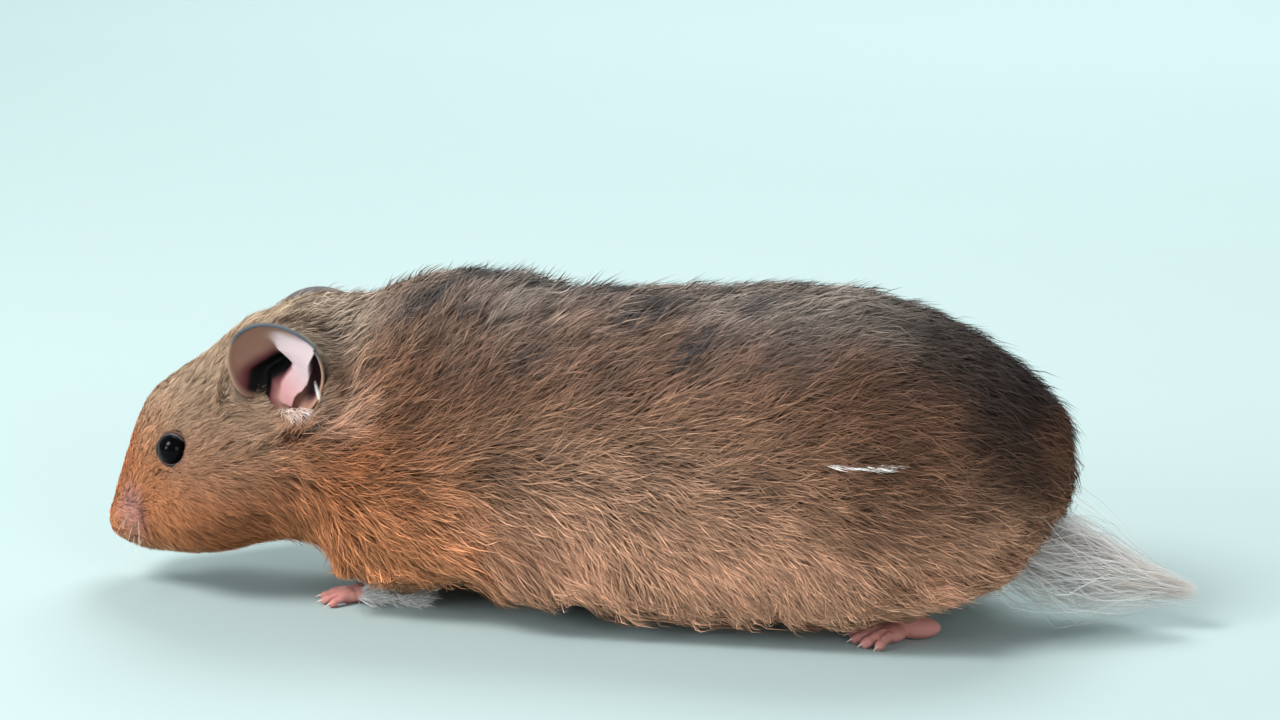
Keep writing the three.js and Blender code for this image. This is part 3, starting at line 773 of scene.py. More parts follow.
def strand_mesh(name, strands, width, roots_uv, tips, roots, material, shares):
    """A joined mesh of tapering ribbons, one for each strand."""
    paths, across, shading = strands
    count, steps = paths.shape[0], paths.shape[1]
    flat = unit(np.cross(across[:, None], np.gradient(paths, axis=1)))
    facing = np.where(np.sum(flat * shading, axis=(1, 2)) < 0, -1.0, 1.0)
    across, flat = across * facing[:, None], flat * facing[:, None, None]
    taper = 1 - 0.75 * shares[:-1] ** 2
    half = 0.5 * width[:, None, None] * taper[None, :, None] * across[:, None, :]
    left, right = paths[:, :-1] - half, paths[:, :-1] + half
    per = 2 * (steps - 1) + 1
    points = np.empty((count, per, 3))
    points[:, 0:-1:2], points[:, 1:-1:2], points[:, -1] = left, right, paths[:, -1]
    triangles = []
    for i in range(steps - 2):
        a, b, c, d = 2 * i, 2 * i + 1, 2 * i + 2, 2 * i + 3
        triangles += [(a, b, d), (a, d, c)]
    triangles.append((per - 3, per - 2, per - 1))
    triangles = np.array(triangles)
    faces = (np.arange(count)[:, None, None] * per + triangles[None]).reshape(-1, 3)
    mesh = bpy.data.meshes.new(name)
    mesh.vertices.add(count * per)
    mesh.vertices.foreach_set("co", (points * MM).astype(np.float32).ravel())
    mesh.loops.add(faces.size)
    mesh.loops.foreach_set("vertex_index", faces.astype(np.int32).ravel())
    mesh.polygons.add(len(faces))
    mesh.polygons.foreach_set("loop_start", np.arange(0, faces.size, 3, dtype=np.int32))
    mesh.polygons.foreach_set("use_smooth", np.ones(len(faces), dtype=bool))
    mesh.update(calc_edges=True)
    normals = unit(0.5 * shading + 0.5 * flat)
    short = np.minimum(np.sum(normals * flat, axis=2, keepdims=True) - 0.2, 0)
    normals = unit(normals - short * flat)  # each on the side its ribbon faces
    normals = np.append(np.repeat(normals[:, :-1], 2, axis=1), normals[:, -1:], axis=1)
    mesh.normals_split_custom_set_from_vertices(normals.reshape(-1, 3).astype(np.float32))
    along = np.append(np.repeat(shares[:-1], 2), 1.0)
    add_attribute(mesh, "along", "FLOAT", np.tile(along, count))
    add_attribute(mesh, "tip_colour", "FLOAT_COLOR", with_alpha(np.repeat(tips, per, axis=0)))
    add_attribute(mesh, "root_colour", "FLOAT_COLOR", with_alpha(np.repeat(roots, per, axis=0)))
    patch = np.stack([np.append(np.tile([-1, 1], steps - 1), 0), 2 * along - 1], axis=1) * 0.0015
    uv = (roots_uv[:, None] + patch[None]).reshape(-1, 2)[faces.ravel()]
    layer = mesh.uv_layers.new(name="OFBake")
    layer.data.foreach_set("uv", uv.astype(np.float32).ravel())
    obj = bpy.data.objects.new(name, mesh)
    bpy.context.collection.objects.link(obj)
    mesh.materials.append(material)
    return dressed(obj)


BODY_MIDDLE = 26.0  # the height that the coat's unwrap turns round


def unwrapped(places):
    """Where each place falls on the skin's unwrap: along the body and round it, within 0.01..0.99."""
    at = places[:, 0]
    round_body = np.arctan2(places[:, 1], places[:, 2] - BODY_MIDDLE)
    u = (at - at.min()) / max(np.ptp(at), 1e-6)
    v = (round_body - round_body.min()) / max(np.ptp(round_body), 1e-6)
    return np.stack([0.01 + 0.98 * u, 0.01 + 0.98 * v], axis=1)


# The space over each foot that the coat leaves: its middle along the foot and its radii.
FOOT_ROOM = {"fore": (2.2, (6.6, 4.6, 3.6)), "hind": (3.2, (8.8, 6.0, 4.6))}


def clear_of_bare_parts(paths):
    """True for the strands that keep out of the eyes, the ears, the nose and the space over the feet."""
    keep = np.ones(len(paths), dtype=bool)
    for i in range(paths.shape[1]):
        p = paths[:, i]
        for side in ("left", "right"):
            place, out, _, _ = eye_frame(side)
            off = p - place
            rise = off @ out
            flat = np.linalg.norm(off - rise[:, None] * out, axis=1)
            keep &= ~((flat < 2.75) & (rise > -1))
            local = body_to_ear(p, side)
            oval = (local[:, 0] / (0.5 * EAR["width"])) ** 2 + (local[:, 2] / (0.5 * EAR["height"]) - 1) ** 2
            depth = -local[:, 1]
            keep &= ~((oval < 0.98) & (depth > 8.4 * (oval - 1) - 0.9) & (depth < 3.0) & (local[:, 2] > 2.6))
        keep &= np.linalg.norm((p - body_point(2.0, 0, 11.8)) / (2.5, 2.7, 2.2), axis=1) > 1
        for leg in LEGS.values():
            middle, radii = FOOT_ROOM[leg["kind"]]
            ankle = leg["line"][-1]
            local = p - body_point(leg["at"] + ankle[0], leg["side"] * ankle[1], 0)
            local = rotated(local, 2, leg["side"] * leg["heading"] - math.pi)
            keep &= np.linalg.norm((local - (middle, 0, 0)) / radii, axis=1) > 1
    return keep


# Stretches of the coat along the body, each made as a left and a right piece: where it starts and
# ends, the steps of a strand and how many strands grow on a square mm.
STRETCHES = [
    ("snout", -5, 12, SHORT_STEPS, 56),
    ("face", 12, 24, SHORT_STEPS, 44),
    ("crown", 24, 36, SHORT_STEPS, 33),
    ("neck", 36, 56, LONG_STEPS, 13.5),
    ("chest", 56, 80, LONG_STEPS, 11.0),
    ("flank", 80, 104, LONG_STEPS, 11.0),
    ("loin", 104, 128, LONG_STEPS, 11.0),
    ("rump", 128, 175, LONG_STEPS, 11.0),
]


STRAND_LENGTH, STRAND_WIDTH = [1, 4, 10], [0.09, 0.14, 0.21]
PALE_SHARE, PALE_GAIN = 0.2, 0.55  # of the long strands, and how much lighter than the rest they are
COAT_TOP = 58.6  # the height that no strand passes


def make_coat(skin):
    """The coat: strands scattered over the skin, one stretch of the body after another."""
    rng = np.random.default_rng(SEED)
    points, normals, triangles = mesh_arrays(skin.data)
    near_skin = NearSkin(points, normals)
    ear_gap = gap_to_ears(points)
    material = fur_material("coat_hair")
    for name, start, end, shares, thickness in STRETCHES:

        def density(p):
            at = p[:, 0] - NOSE_X
            hidden = (1 - ramp(p[:, 2], 4, 10)) * (1 - ramp(np.abs(p[:, 1]), 10, 16))
            return thickness * ((at >= start) & (at < end)) * (1 - 0.5 * hidden * ramp(at, 30, 40))

        places, facing = scatter(points, normals, triangles, density, rng)
        length = hair_length(places) * (0.3 + 0.7 * ramp(gap_to_legs(places), 3.0, 8))
        length *= 0.3 + 0.7 * ramp(near_skin.value(ear_gap, places), 1.0, 5.5)
        paths, across, shading, fine = grow_strands(places, facing, rng, length, near_skin, shares)
        width = np.interp(length, STRAND_LENGTH, STRAND_WIDTH) * rng.uniform(0.65, 1.3, len(places))
        tips = tip_colours(places)
        loose = ramp(length, 1.5, 7)
        shade = 1 + rng.normal(0, 1, len(places)) * (0.19 + 0.07 * loose)
        shade *= 1 + per_clump(rng, 0, 1, fine) * (0.06 + 0.15 * loose)
        tips = tips * np.clip(shade, 0.4, 1.7)[:, None]
        pale = (rng.random(len(places)) < PALE_SHARE) * loose
        tips = tips * (1 + PALE_GAIN * pale)[:, None]
        tips = blend(tips, HAIR["slate"], 0.85 * parting(places))
        roots = root_colours(places, tips)
        run = np.linalg.norm(np.diff(paths, axis=1), axis=2).sum(axis=1)
        sound = (run < 1.5 * length + 1) & (paths[:, :, 2].max(axis=1) < COAT_TOP)
        keep = clear_of_bare_parts(paths)
        for share in (0.6, 0.55):  # a strand that reaches a bare part is cut short, twice if need be
            blocked = np.flatnonzero(~keep)
            root = paths[blocked, :1]
            paths[blocked] = root + (paths[blocked] - root) * share
            keep[blocked] = clear_of_bare_parts(paths[blocked])
        for half, mask in (("left", places[:, 1] < 0), ("right", places[:, 1] >= 0)):
            pick = mask & keep & sound
            strand_mesh(
                f"coat_{name}_{half}", (paths[pick], across[pick], shading[pick]), width[pick],
                unwrapped(places[pick]), tips[pick], roots[pick], material, shares,
            )
    make_wrist_fur(rng, material)
    make_hip_lock(rng, near_skin, material)


# The white fur behind each forefoot: its reach back from the ankle, its width and its height.
WRIST = dict(back=13.0, side=3.6, height=3.4, hairs=2000)
WRIST_LIGHT = np.array([-0.9, 0.9, 0.9])  # forwards, outwards and up: the way its shading leans


def make_wrist_fur(rng, material):
    """White hairs that lie back over each wrist."""
    for side in ("left", "right"):
        leg = LEGS[f"foreleg_{side}"]
        ankle = leg["line"][-1]
        count = WRIST["hairs"]
        back, turn = rng.uniform(-1.0, WRIST["back"] - 3, count), rng.uniform(0, np.pi, count)
        swell = 1 - 0.6 * np.clip(back / WRIST["back"], 0, 1)
        out = np.stack([np.zeros(count), np.cos(turn), np.sin(turn)], axis=1)
        middle = np.stack([back, np.zeros(count), np.zeros(count)], axis=1)
        roots = middle + out * (0, WRIST["side"], WRIST["height"]) * (0.7 * swell)[:, None]
        roots += body_point(leg["at"] + ankle[0], leg["side"] * ankle[1], 0.6)
        lie = unit(np.array([1.0, 0, -0.1]) + 0.3 * out + rng.normal(0, 0.34, (count, 3)))
        reach = rng.uniform(2.4, 4.2, count)[:, None, None] * LONG_STEPS[None, :, None]
        paths = roots[:, None] + lie[:, None] * reach + 0.5 * out[:, None] * LONG_STEPS[None, :, None]
        paths[:, :, 2] = np.maximum(paths[:, :, 2], 0.35)
        across = turned(unit(np.cross(lie, out)), lie, rng.uniform(-0.8, 0.8, count))
        lean = WRIST_LIGHT * (1, leg["side"], 1)
        shading = np.repeat(unit(out + lean)[:, None], len(LONG_STEPS), axis=1)
        tips = np.array(HAIR["white"]) * rng.uniform(0.7, 1.0, count)[:, None]
        strand_mesh(
            f"wrist_fur_{side}", (paths, across, shading), np.full(count, 0.1), unwrapped(roots),
            tips, tips * 0.8, material, LONG_STEPS,
        )


# The lock on the left hip: where its roots start and end, its height, and its hairs' length.
HIP_LOCK = dict(start=127, end=135, y=-26.5, z=33.0, hairs=64, length=9.5)


def make_hip_lock(rng, near_skin, material):
    """A thin white lock that lies on the left hip."""
    count = HIP_LOCK["hairs"]
    along = rng.uniform(HIP_LOCK["start"], HIP_LOCK["end"], count) + NOSE_X
    places = np.stack([along, np.full(count, HIP_LOCK["y"]), rng.normal(HIP_LOCK["z"], 0.2, count)], axis=1)
    roots, facing = near_skin.find(places)
    roots = np.stack([places[:, 0], roots[:, 1], places[:, 2]], axis=1)
    length = np.full(count, HIP_LOCK["length"])
    paths, across, shading, _ = grow_strands(roots, facing, rng, length, near_skin, LONG_STEPS)
    paths[:, :, 2] += (HIP_LOCK["z"] + 0.1 - paths[:, :, 2]) * 0.88
    paths[:, :, 1] -= 0.1 + 1.5 * LONG_STEPS[None]
    tips = filled(HAIR["white"], count)
    strand_mesh(
        "hip_lock", (paths, across, shading), np.full(count, 0.16), unwrapped(roots),
        tips, tips * 0.9, material, LONG_STEPS,
    )


# ---- bare parts ---------------------------------------------------------------------------------

def bare_material(name, roughness, bump=0.0, scale=900.0, coat=0.0, subsurface=0.0):
    """Bare or thinly haired skin coloured by its own markings, with fine mottling."""
    material, shader, links = new_material(name)
    noise = add_node(material, "ShaderNodeTexNoise", Scale=scale, Detail=4.0, Roughness=0.6)
    mottle = colour_ramp(material, noise.outputs["Fac"], [(0.3, (0.78, 0.78, 0.78)), (0.7, (1.1, 1.1, 1.1))])
    tint = attribute_socket(material, "tint")
    colour = mix_colour(material, "MULTIPLY", 1.0, tint, mottle.outputs["Color"])
    links.new(colour, shader.inputs["Base Color"])
    shader.inputs["Roughness"].default_value = roughness
    shader.inputs["Specular IOR Level"].default_value = 0.3
    shader.inputs["Coat Weight"].default_value = coat
    shader.inputs["Coat Roughness"].default_value = 0.1
    if subsurface:
        shader.inputs["Subsurface Weight"].default_value = subsurface
        shader.inputs["Subsurface Scale"].default_value = 0.0015
        shader.inputs["Subsurface Radius"].default_value = (1.0, 0.35, 0.25)
    if bump:
        node = add_node(material, "ShaderNodeBump", Strength=bump, Distance=0.0003)
        links.new(noise.outputs["Fac"], node.inputs["Height"])
        links.new(node.outputs["Normal"], shader.inputs["Normal"])
    return material


def make_piece(name, points, faces, tint, material, replaces=()):
    """A smooth piece from points in mm, faces and a colour for each point."""
    mesh = bpy.data.meshes.new(name)
    mesh.from_pydata((points * MM).tolist(), [], [tuple(int(i) for i in f) for f in faces])
    whole = bmesh.new()
    whole.from_mesh(mesh)
    bmesh.ops.recalc_face_normals(whole, faces=whole.faces)
    whole.to_mesh(mesh)
    whole.free()
    mesh.shade_smooth()
    add_attribute(mesh, "tint", "FLOAT_COLOR", with_alpha(tint))
    mesh.materials.append(material)
    obj = bpy.data.objects.new(name, mesh)
    bpy.context.collection.objects.link(obj)
    return dressed(obj, replaces)


# ---- ears ---------------------------------------------------------------------------------------

# The ear's own frame: across +X, up +Z, the opening towards -Y; the base is where it joins the head.
# The ears: the foot (at, y, z), sizes in mm with the least thickness, and turns in radians.
EAR = dict(
    base=(34.8, 12.8, 32.9), width=17.6, height=18.6, cup=4.2, thick=1.0, least=0.45,
    splay=0.24, turn=0.16, swept=0.1,
)
EAR_DROP = {"left": 0.0, "right": 1.3}
EAR_SPOKES, EAR_HOOPS = 200, 44
# The fold that crosses the ear: how far across its front and back edges lie at each height.
FOLD_UP = [2.0, 3.6, 5.0, 6.2, 7.6, 9.2, 10.8, 11.9, 13.0, 14.6, 16.4]
FOLD_FRONT = [-1.1, -1.3, -1.2, -1.1, -0.3, 0.9, 1.3, 0.0, -1.7, -2.2, -1.6]
FOLD_BACK = [1.6, 1.9, 2.4, 3.6, 4.6, 5.1, 5.1, 5.2, 5.7, 6.5, 7.1]
EAR_HOLE = [(-0.9, 8.8), (-4.3, 6.4), (-4.2, 2.6)]  # the middle line of the opening, across and up

EAR_COLOURS = dict(
    # deep and hole are painted shade: the wall darker towards the ear's opening, and the opening near black
    wall=srgb(160, 116, 98), deep=srgb(104, 48, 56), hole=srgb(4, 2, 2), fold=srgb(222, 196, 198),
    # the hollow behind the fold: its own purple, darkened further with painted shade
    fold_low=srgb(206, 150, 150), shaded_cavity=srgb(66, 36, 44), rim=srgb(84, 92, 100),
    front_rim=srgb(176, 140, 118), back=srgb(120, 104, 94),
)


def ear_fold(across, up):
    """The fold's share at a place on the ear, 0 to 1, and the share of the way across it."""
    front, back = np.interp(up, FOLD_UP, FOLD_FRONT), np.interp(up, FOLD_UP, FOLD_BACK)
    rise = ramp(across, front - 0.1 - 1.5 * ramp(up, 12, 15), front + 1.5 + 1.0 * ramp(up, 12, 15))
    fall = 1 - ramp(across, back - 0.05, back + 0.3)
    ends = ramp(up, 1.2, 3.0) * (1 - ramp(up, 15.6, 17.4))
    return rise * fall * ends, np.clip((across - front) / (back - front), 0, 1)


def ear_hole(across, up):
    flat = np.stack([across, up, np.zeros_like(up)], axis=1)
    return gap_to_line(flat, [np.array([x, z, 0.0]) for x, z in EAR_HOLE])


def ear_inner(across, up, share):
    """Height of the inner face above the plane of the rim."""
    hollow = np.exp(-0.5 * ((across - 6.6) / 1.6) ** 2) * ramp(up, 3, 7) * (1 - ramp(share, 0.8, 1))
    bowl = EAR["cup"] * (share ** 2 - 1) - 1.2 * hollow
    fold, through = ear_fold(across, up)
    level = -2.6 + 2.0 * through + 0.5 * ramp(up, 6, 14)
    height = bowl + (level - bowl) * fold
    pit = np.exp(-0.5 * (ear_hole(across, up) / 1.15) ** 2) * (1 - fold)
    roll = 0.45 * np.exp(-(((share - 0.955) / 0.035) ** 2))
    return height - 3.4 * pit + roll - 1.6 * (1 - ramp(up, 0.0, 3.2))


def ear_outer(share):
    """Height of the outer face above the plane of the rim."""
    return EAR["cup"] * (share ** 2 - 1) - 2.6 * (1 - share) - EAR["thick"] * (1.25 - 0.75 * share)


def ear_tint(across, up, share, inner):
    c = EAR_COLOURS
    if not inner:
        edge = 0.7 * ramp(share, 0.75, 0.95) * ramp(up, 8, 13)
        return blend(filled(c["back"], len(across)), c["rim"], edge)
    hole = ear_hole(across, up)
    # painted shade: the wall darkens towards the ear's opening
    tint = blend(filled(c["wall"], len(across)), c["deep"], 1 - ramp(hole, 1.8, 4.4))
    # the hollow behind the fold: partly its own purple, partly painted shade
    shaded_cavity = ramp(across, 3.0, 5.5) * ramp(up, 3.0, 5.5) * (1 - ramp(share, 0.84, 0.97))
    tint = blend(tint, c["shaded_cavity"], shaded_cavity)
    fold, through = ear_fold(across, up)
    pale = blend(filled(c["fold_low"], len(across)), c["fold"], ramp(up + 3 * through, 6, 14))
    tint = blend(tint, pale, fold ** 1.5)
    # painted shade: the opening itself near black
    tint = blend(tint, c["hole"], (1 - ramp(hole, 1.5, 2.1)) * (1 - ramp(fold, 0.1, 0.5)))
    rim = ramp(share, 0.9, 0.96)
    tint = blend(tint, c["front_rim"], rim * 0.8)
    return blend(tint, c["rim"], rim * ramp(up, 12.0, 15.5))


def rotated(points, axis, angle):
    i, j = [(1, 2), (2, 0), (0, 1)][axis]
    out = points.copy()
    out[:, i] = points[:, i] * math.cos(angle) - points[:, j] * math.sin(angle)
    out[:, j] = points[:, i] * math.sin(angle) + points[:, j] * math.cos(angle)
    return out


def ear_to_body(points, side):
    out = rotated(points, 1, EAR["swept"])
    out = rotated(out, 0, EAR["splay"])
    out = rotated(out, 2, -EAR["turn"])
    at, y, z = EAR["base"]
    out = out + body_point(at, -y, z - EAR_DROP[side])
    return out * (1, -1 if side == "right" else 1, 1)


def body_to_ear(points, side):
    at, y, z = EAR["base"]
    out = points * (1, -1 if side == "right" else 1, 1) - body_point(at, -y, z - EAR_DROP[side])
    out = rotated(out, 2, EAR["turn"])
    out = rotated(out, 0, -EAR["splay"])
    return rotated(out, 1, -EAR["swept"])


def make_ear(side):
    """An ear as two faces of rings and spokes, joined at the rim."""
    angle = 2 * np.pi * np.arange(EAR_SPOKES) / EAR_SPOKES
    hoops = np.arange(1, EAR_HOOPS + 1) / EAR_HOOPS
    share = np.concatenate([[0.0], np.repeat(hoops, EAR_SPOKES)])
    turn = np.concatenate([[0.0], np.tile(angle, EAR_HOOPS)])
    across = 0.5 * EAR["width"] * share * np.cos(turn) * (1 + 0.1 * np.sin(turn))
    up = 0.5 * EAR["height"] * (1 + share * np.sin(turn))
    fold, through = ear_fold(across, up)
    lean = 0.9 * fold * ramp(through, 0.5, 1)  # the fold's free edge hangs over the hollow behind it
    inner = np.stack([across + lean, -ear_inner(across, up, share), up], axis=1)
    behind = np.minimum(ear_outer(share), ear_inner(across, up, share) - EAR["least"])
    outer = np.stack([across, -behind, up], axis=1)
    count, faces = len(inner), []
    ring = np.arange(EAR_SPOKES)
    after = (ring + 1) % EAR_SPOKES
    for base in (0, count):
        faces += [(base, base + 1 + a, base + 1 + b) for a, b in zip(ring, after)]
        for hoop in range(EAR_HOOPS - 1):
            near, far = base + 1 + hoop * EAR_SPOKES, base + 1 + (hoop + 1) * EAR_SPOKES
            faces += [(near + a, far + a, far + b, near + b) for a, b in zip(ring, after)]
    rim = 1 + (EAR_HOOPS - 1) * EAR_SPOKES
    faces += [(rim + a, rim + b, count + rim + b, count + rim + a) for a, b in zip(ring, after)]
    tint = np.vstack([ear_tint(across, up, share, True), ear_tint(across, up, share, False)])
    points = ear_to_body(np.vstack([inner, outer]), side)
    make_piece(f"ear_{side}_skin", points, faces, tint, ear_material, (f"ear_{side}",))


FRINGE_HAIRS = 190
FRINGE_LOCK = 0.05  # the share of the fringe's hairs that stand in the lock


def make_ear_fringe(side):
    """The fine white hairs at the foot of the ear, and a lock behind it."""
    rng = np.random.default_rng(SEED + 3)
    count = FRINGE_HAIRS
    lock = rng.random(count) < FRINGE_LOCK
    across = np.where(lock, 8.6 + rng.normal(0, 0.15, count), rng.uniform(1.5, 8.0, count))
    up = np.where(lock, rng.uniform(3.5, 5.5, count), rng.uniform(1.4, 3.6, count))
    roots = np.stack([across, np.where(lock, -0.4, rng.uniform(-1.2, 0.2, count)), up], axis=1)
    way = [rng.normal(middle, spread, count) for middle, spread in ((0.45, 0.35), (-0.6, 0.2), (0.35, 0.35))]
    way = unit(np.where(lock[:, None], (-0.15, -0.25, 1.0), np.stack(way, axis=1)))
    reach = np.where(lock, 5.5, rng.uniform(1.6, 4.0, count))[:, None, None] * LONG_STEPS[None, :, None]
    droop = np.array([0.25, 0.0, -0.35]) * reach * LONG_STEPS[None, :, None] * ~lock[:, None, None]
    local = roots[:, None] + way[:, None] * reach + droop
    paths = ear_to_body(local.reshape(-1, 3), side).reshape(local.shape)
    out = unit(np.tile((0.0, -1.0 if side == "left" else 1.0, 0.5), (count, 1)))
    across = turned(unit(np.cross(unit(paths[:, -1] - paths[:, 0]), out)), out, np.zeros(count))
    shading = np.repeat(out[:, None], len(LONG_STEPS), axis=1)
    tips = blend(filled(HAIR["cream"], count), HAIR["white"], np.where(lock, 1.0, rng.random(count)))
    strand_mesh(
        f"ear_fringe_{side}", (paths, across, shading), np.full(count, 0.06), unwrapped(paths[:, 0]),
        tips, tips * 0.85, silk, LONG_STEPS,
    )


# ---- eyes ---------------------------------------------------------------------------------------

def eye_material():
    material, shader, links = new_material("eye_black")
    noise = add_node(material, "ShaderNodeTexNoise", Scale=700.0, Detail=3.0)
    stops = [(0.35, (0.0004, 0.0005, 0.0012)), (0.75, (0.003, 0.0022, 0.0025))]
    dark = colour_ramp(material, noise.outputs["Fac"], stops)
    links.new(dark.outputs["Color"], shader.inputs["Base Color"])
    shader.inputs["Roughness"].default_value = 0.06
    shader.inputs["IOR"].default_value = 1.38
    shader.inputs["Specular IOR Level"].default_value = 0.12
    return material


def eye_frame(side):
    """The eye's middle, and the ways out of the head, back and up across its opening."""
    mirror = np.array([1, -1 if side == "right" else 1, 1])
    out = unit(np.array([-0.22, -0.95, 0.2]))
    back = unit(np.cross(np.cross(out, (1, 0, 0)), out))
    up = np.cross(back, out)
    up = up if up[2] > 0 else -up
    return EYE["place"] * mirror, out * mirror, back * mirror, up * mirror


def make_eye(side):
    place, out, back, up = eye_frame(side)
    rings, spokes = 40, 56
    points, faces = [place + out * EYE["radius"]], []
    for i in range(1, rings):
        a = np.pi * i / rings
        for j in range(spokes):
            b = 2 * np.pi * j / spokes
            points.append(place + EYE["radius"] * (
                out * np.cos(a) + np.sin(a) * (back * np.cos(b) + up * np.sin(b))))
    points.append(place - out * EYE["radius"])
    last = len(points) - 1
    for j in range(spokes):
        k = (j + 1) % spokes
        faces.append((0, 1 + j, 1 + k))
        faces.append((last, last - spokes + k, last - spokes + j))
        for i in range(rings - 2):
            row = 1 + i * spokes
            faces.append((row + j, row + spokes + j, row + spokes + k, row + k))
    points = np.array(points)
    make_piece(f"eye_{side}_ball", points, faces, np.ones((len(points), 3)), black, (f"eye_{side}",))
    make_lids(side, place, out, back, up)


LID_COLOURS = dict(dark=srgb(40, 32, 34), pale=srgb(168, 172, 180), furred=HAIR["fawn"])
LID_SKIRT = dict(depth=4.6, spread=0.36)  # how far the furred lid runs in and out from its rim


def make_lids(side, place, out, back, up):
    """The rim of bare skin round the eye, drawn out to a corner behind it, and the furred lid below it."""
    steps, sides = 96, 14
    around = 2 * np.pi * np.arange(steps) / steps
    corner = np.exp(-((np.angle(np.exp(1j * (around - 0.25))) / 0.34) ** 2))
    front = np.exp(-((np.angle(np.exp(1j * (around - 3.3))) / 0.4) ** 2))
    reach = 2.6 + 0.75 * corner + 0.18 * front
    lift = 0.78 - 0.55 * corner - 0.1 * front
    thick = 0.23 + 0.05 * np.sin(around)
    radial = back[None] * np.cos(around)[:, None] + up[None] * np.sin(around)[:, None]
    middle = place + radial * reach[:, None] + out * lift[:, None]
    points, tint = [], []
    pale = np.exp(-((np.angle(np.exp(1j * (around + 0.7))) / 0.7) ** 2))
    for k in range(sides):
        a = 2 * np.pi * k / sides
        low = max(0.0, -math.sin(a))
        deep = math.sin(a) * (1 + LID_SKIRT["depth"] * low * (1 - 0.8 * corner))
        ring = middle + thick[:, None] * (radial * math.cos(a) * 1.25 + out * deep[:, None])
        points.append(ring + radial * LID_SKIRT["spread"] * low)
        inner = max(0.0, -math.cos(a)) * max(0.0, math.sin(a) + 0.5)
        light = 0.9 * pale * min(1, inner + 0.25)
        rim = blend(filled(LID_COLOURS["dark"], steps), LID_COLOURS["pale"], light)
        tint.append(blend(rim, LID_COLOURS["furred"], np.full(steps, ramp(low, 0.1, 0.6))))
    points = np.vstack(points)
    faces = [
        (k * steps + i, k * steps + (i + 1) % steps, (k + 1) % sides * steps + (i + 1) % steps,
         (k + 1) % sides * steps + i)
        for k in range(sides) for i in range(steps)
    ]
    make_piece(f"eye_{side}_lids", points, faces, np.vstack(tint), lid_material)


# ---- nose and feet ------------------------------------------------------------------------------

def fused_balls(name, balls, voxel, rounds):
    """One smooth closed mesh round a set of balls, each a middle and three radii in mm."""
    whole = bmesh.new()
    for place, radii in balls:
        made = bmesh.ops.create_icosphere(whole, subdivisions=3, radius=1)
        for vert in made["verts"]:
            vert.co = Vector([place[k] + vert.co[k] * radii[k] for k in range(3)]) * MM
    return fused(name, whole, voxel, rounds)


# the nostril and cleft colours are painted shade: darker in the nostril pits and along the cleft
NOSE_PINK, NOSTRIL_SHADE, CLEFT_SHADE = srgb(236, 178, 170), srgb(90, 40, 40), srgb(150, 80, 80)
# The balls that the nose is made of: the middle (at, y, z) and the radii of each.
NOSE_BALLS = [
    ((2.5, 0, 11.8), (1.7, 2.3, 1.7)), ((1.9, 1.3, 11.9), (1.0, 1.0, 1.2)),
    ((1.9, -1.3, 11.9), (1.0, 1.0, 1.2)), ((1.7, 0, 10.9), (0.9, 0.9, 1.2)),
]


def make_nose():
    nose = fused_balls("nose_pad", [(body_point(*p), r) for p, r in NOSE_BALLS], 0.14, 5)
    points, normals, _ = mesh_arrays(nose.data)
    tint = filled(NOSE_PINK, len(points))
    for y in (-1, 1):
        pit = np.linalg.norm((points - body_point(0.85, 1.1 * y, 11.4)) / (1.0, 0.45, 0.42), axis=1)
        points -= normals * (0.7 * np.exp(-0.5 * pit ** 2))[:, None]
        # painted shade in each nostril pit
        tint = blend(tint, NOSTRIL_SHADE, np.exp(-0.5 * pit ** 2))
    cleft = np.exp(-0.5 * (points[:, 1] / 0.16) ** 2) * (1 - ramp(points[:, 2], 11.6, 12.4))
    points -= normals * (0.3 * cleft)[:, None]
    # painted shade along the cleft
    tint = blend(tint, CLEFT_SHADE, 0.7 * cleft)
    set_points(nose.data, points)
    add_attribute(nose.data, "tint", "FLOAT_COLOR", with_alpha(tint))
    nose.data.materials.append(damp_material)
    dressed(nose, ("nose",))


# Feet in their own frame: forwards along +X, the outer side along +Y, the sole on z = 0. The pads are
# balls, a middle and radii; a toe is its place across, its turn outwards, its length and its radius.
FEET = {
    "fore": dict(
        pads=[((0.8, 0, 1.5), (3.0, 2.2, 1.6)), ((2.6, 0, 1.35), (2.1, 2.6, 1.4)),
              ((3.4, -1.4, 0.9), (0.9, 0.8, 0.8)), ((3.5, 1.4, 0.9), (0.9, 0.8, 0.8))],
        toes=[
            (-1.9, -0.55, 3.1, 0.72), (-0.7, -0.18, 4.1, 0.76), (0.7, 0.16, 4.1, 0.76),
            (1.9, 0.5, 3.3, 0.72),
        ],
        knuckle=3.2, nail=1.4),
    "hind": dict(
        pads=[((0.2, 0, 2.0), (4.6, 2.3, 2.0)), ((4.6, 0, 1.5), (3.0, 3.2, 1.6)),
              ((6.0, -1.9, 1.0), (1.1, 1.0, 0.9)), ((6.2, 1.9, 1.0), (1.1, 1.0, 0.9))],
        toes=[
            (-2.7, -0.7, 3.0, 0.85), (-1.5, -0.3, 4.4, 0.95), (0, 0, 4.8, 0.95),
            (1.5, 0.3, 4.5, 0.95), (2.7, 0.65, 3.2, 0.85),
        ],
        knuckle=5.8, nail=1.5),
}
FOOT_PINK, FOOT_CREASE, CLAW = srgb(240, 168, 158), srgb(196, 96, 96), srgb(232, 208, 192)


def foot_to_body(points, leg):
    ankle = leg["line"][-1]
    side = leg["side"]
    out = points * (1, -1 if side > 0 else 1, 1)
    out = rotated(out, 2, math.pi - side * leg["heading"])
    return out + body_point(leg["at"] + ankle[0], side * ankle[1], 0)


def toe_path(kind, toe, shares):
    """Places along a toe from its root to its tip, in the foot's frame."""
    y, turn, length, radius = toe
    run = -1 + (1 + length) * shares
    arch = np.interp(shares, [0, 0.35, 0.62, 1.0], [1.45, 1.75, 1.45, 0.8])
    x = FEET[kind]["knuckle"] + run * math.cos(turn)
    return np.stack([x, y + run * math.sin(turn), arch * radius / 0.8], axis=1)


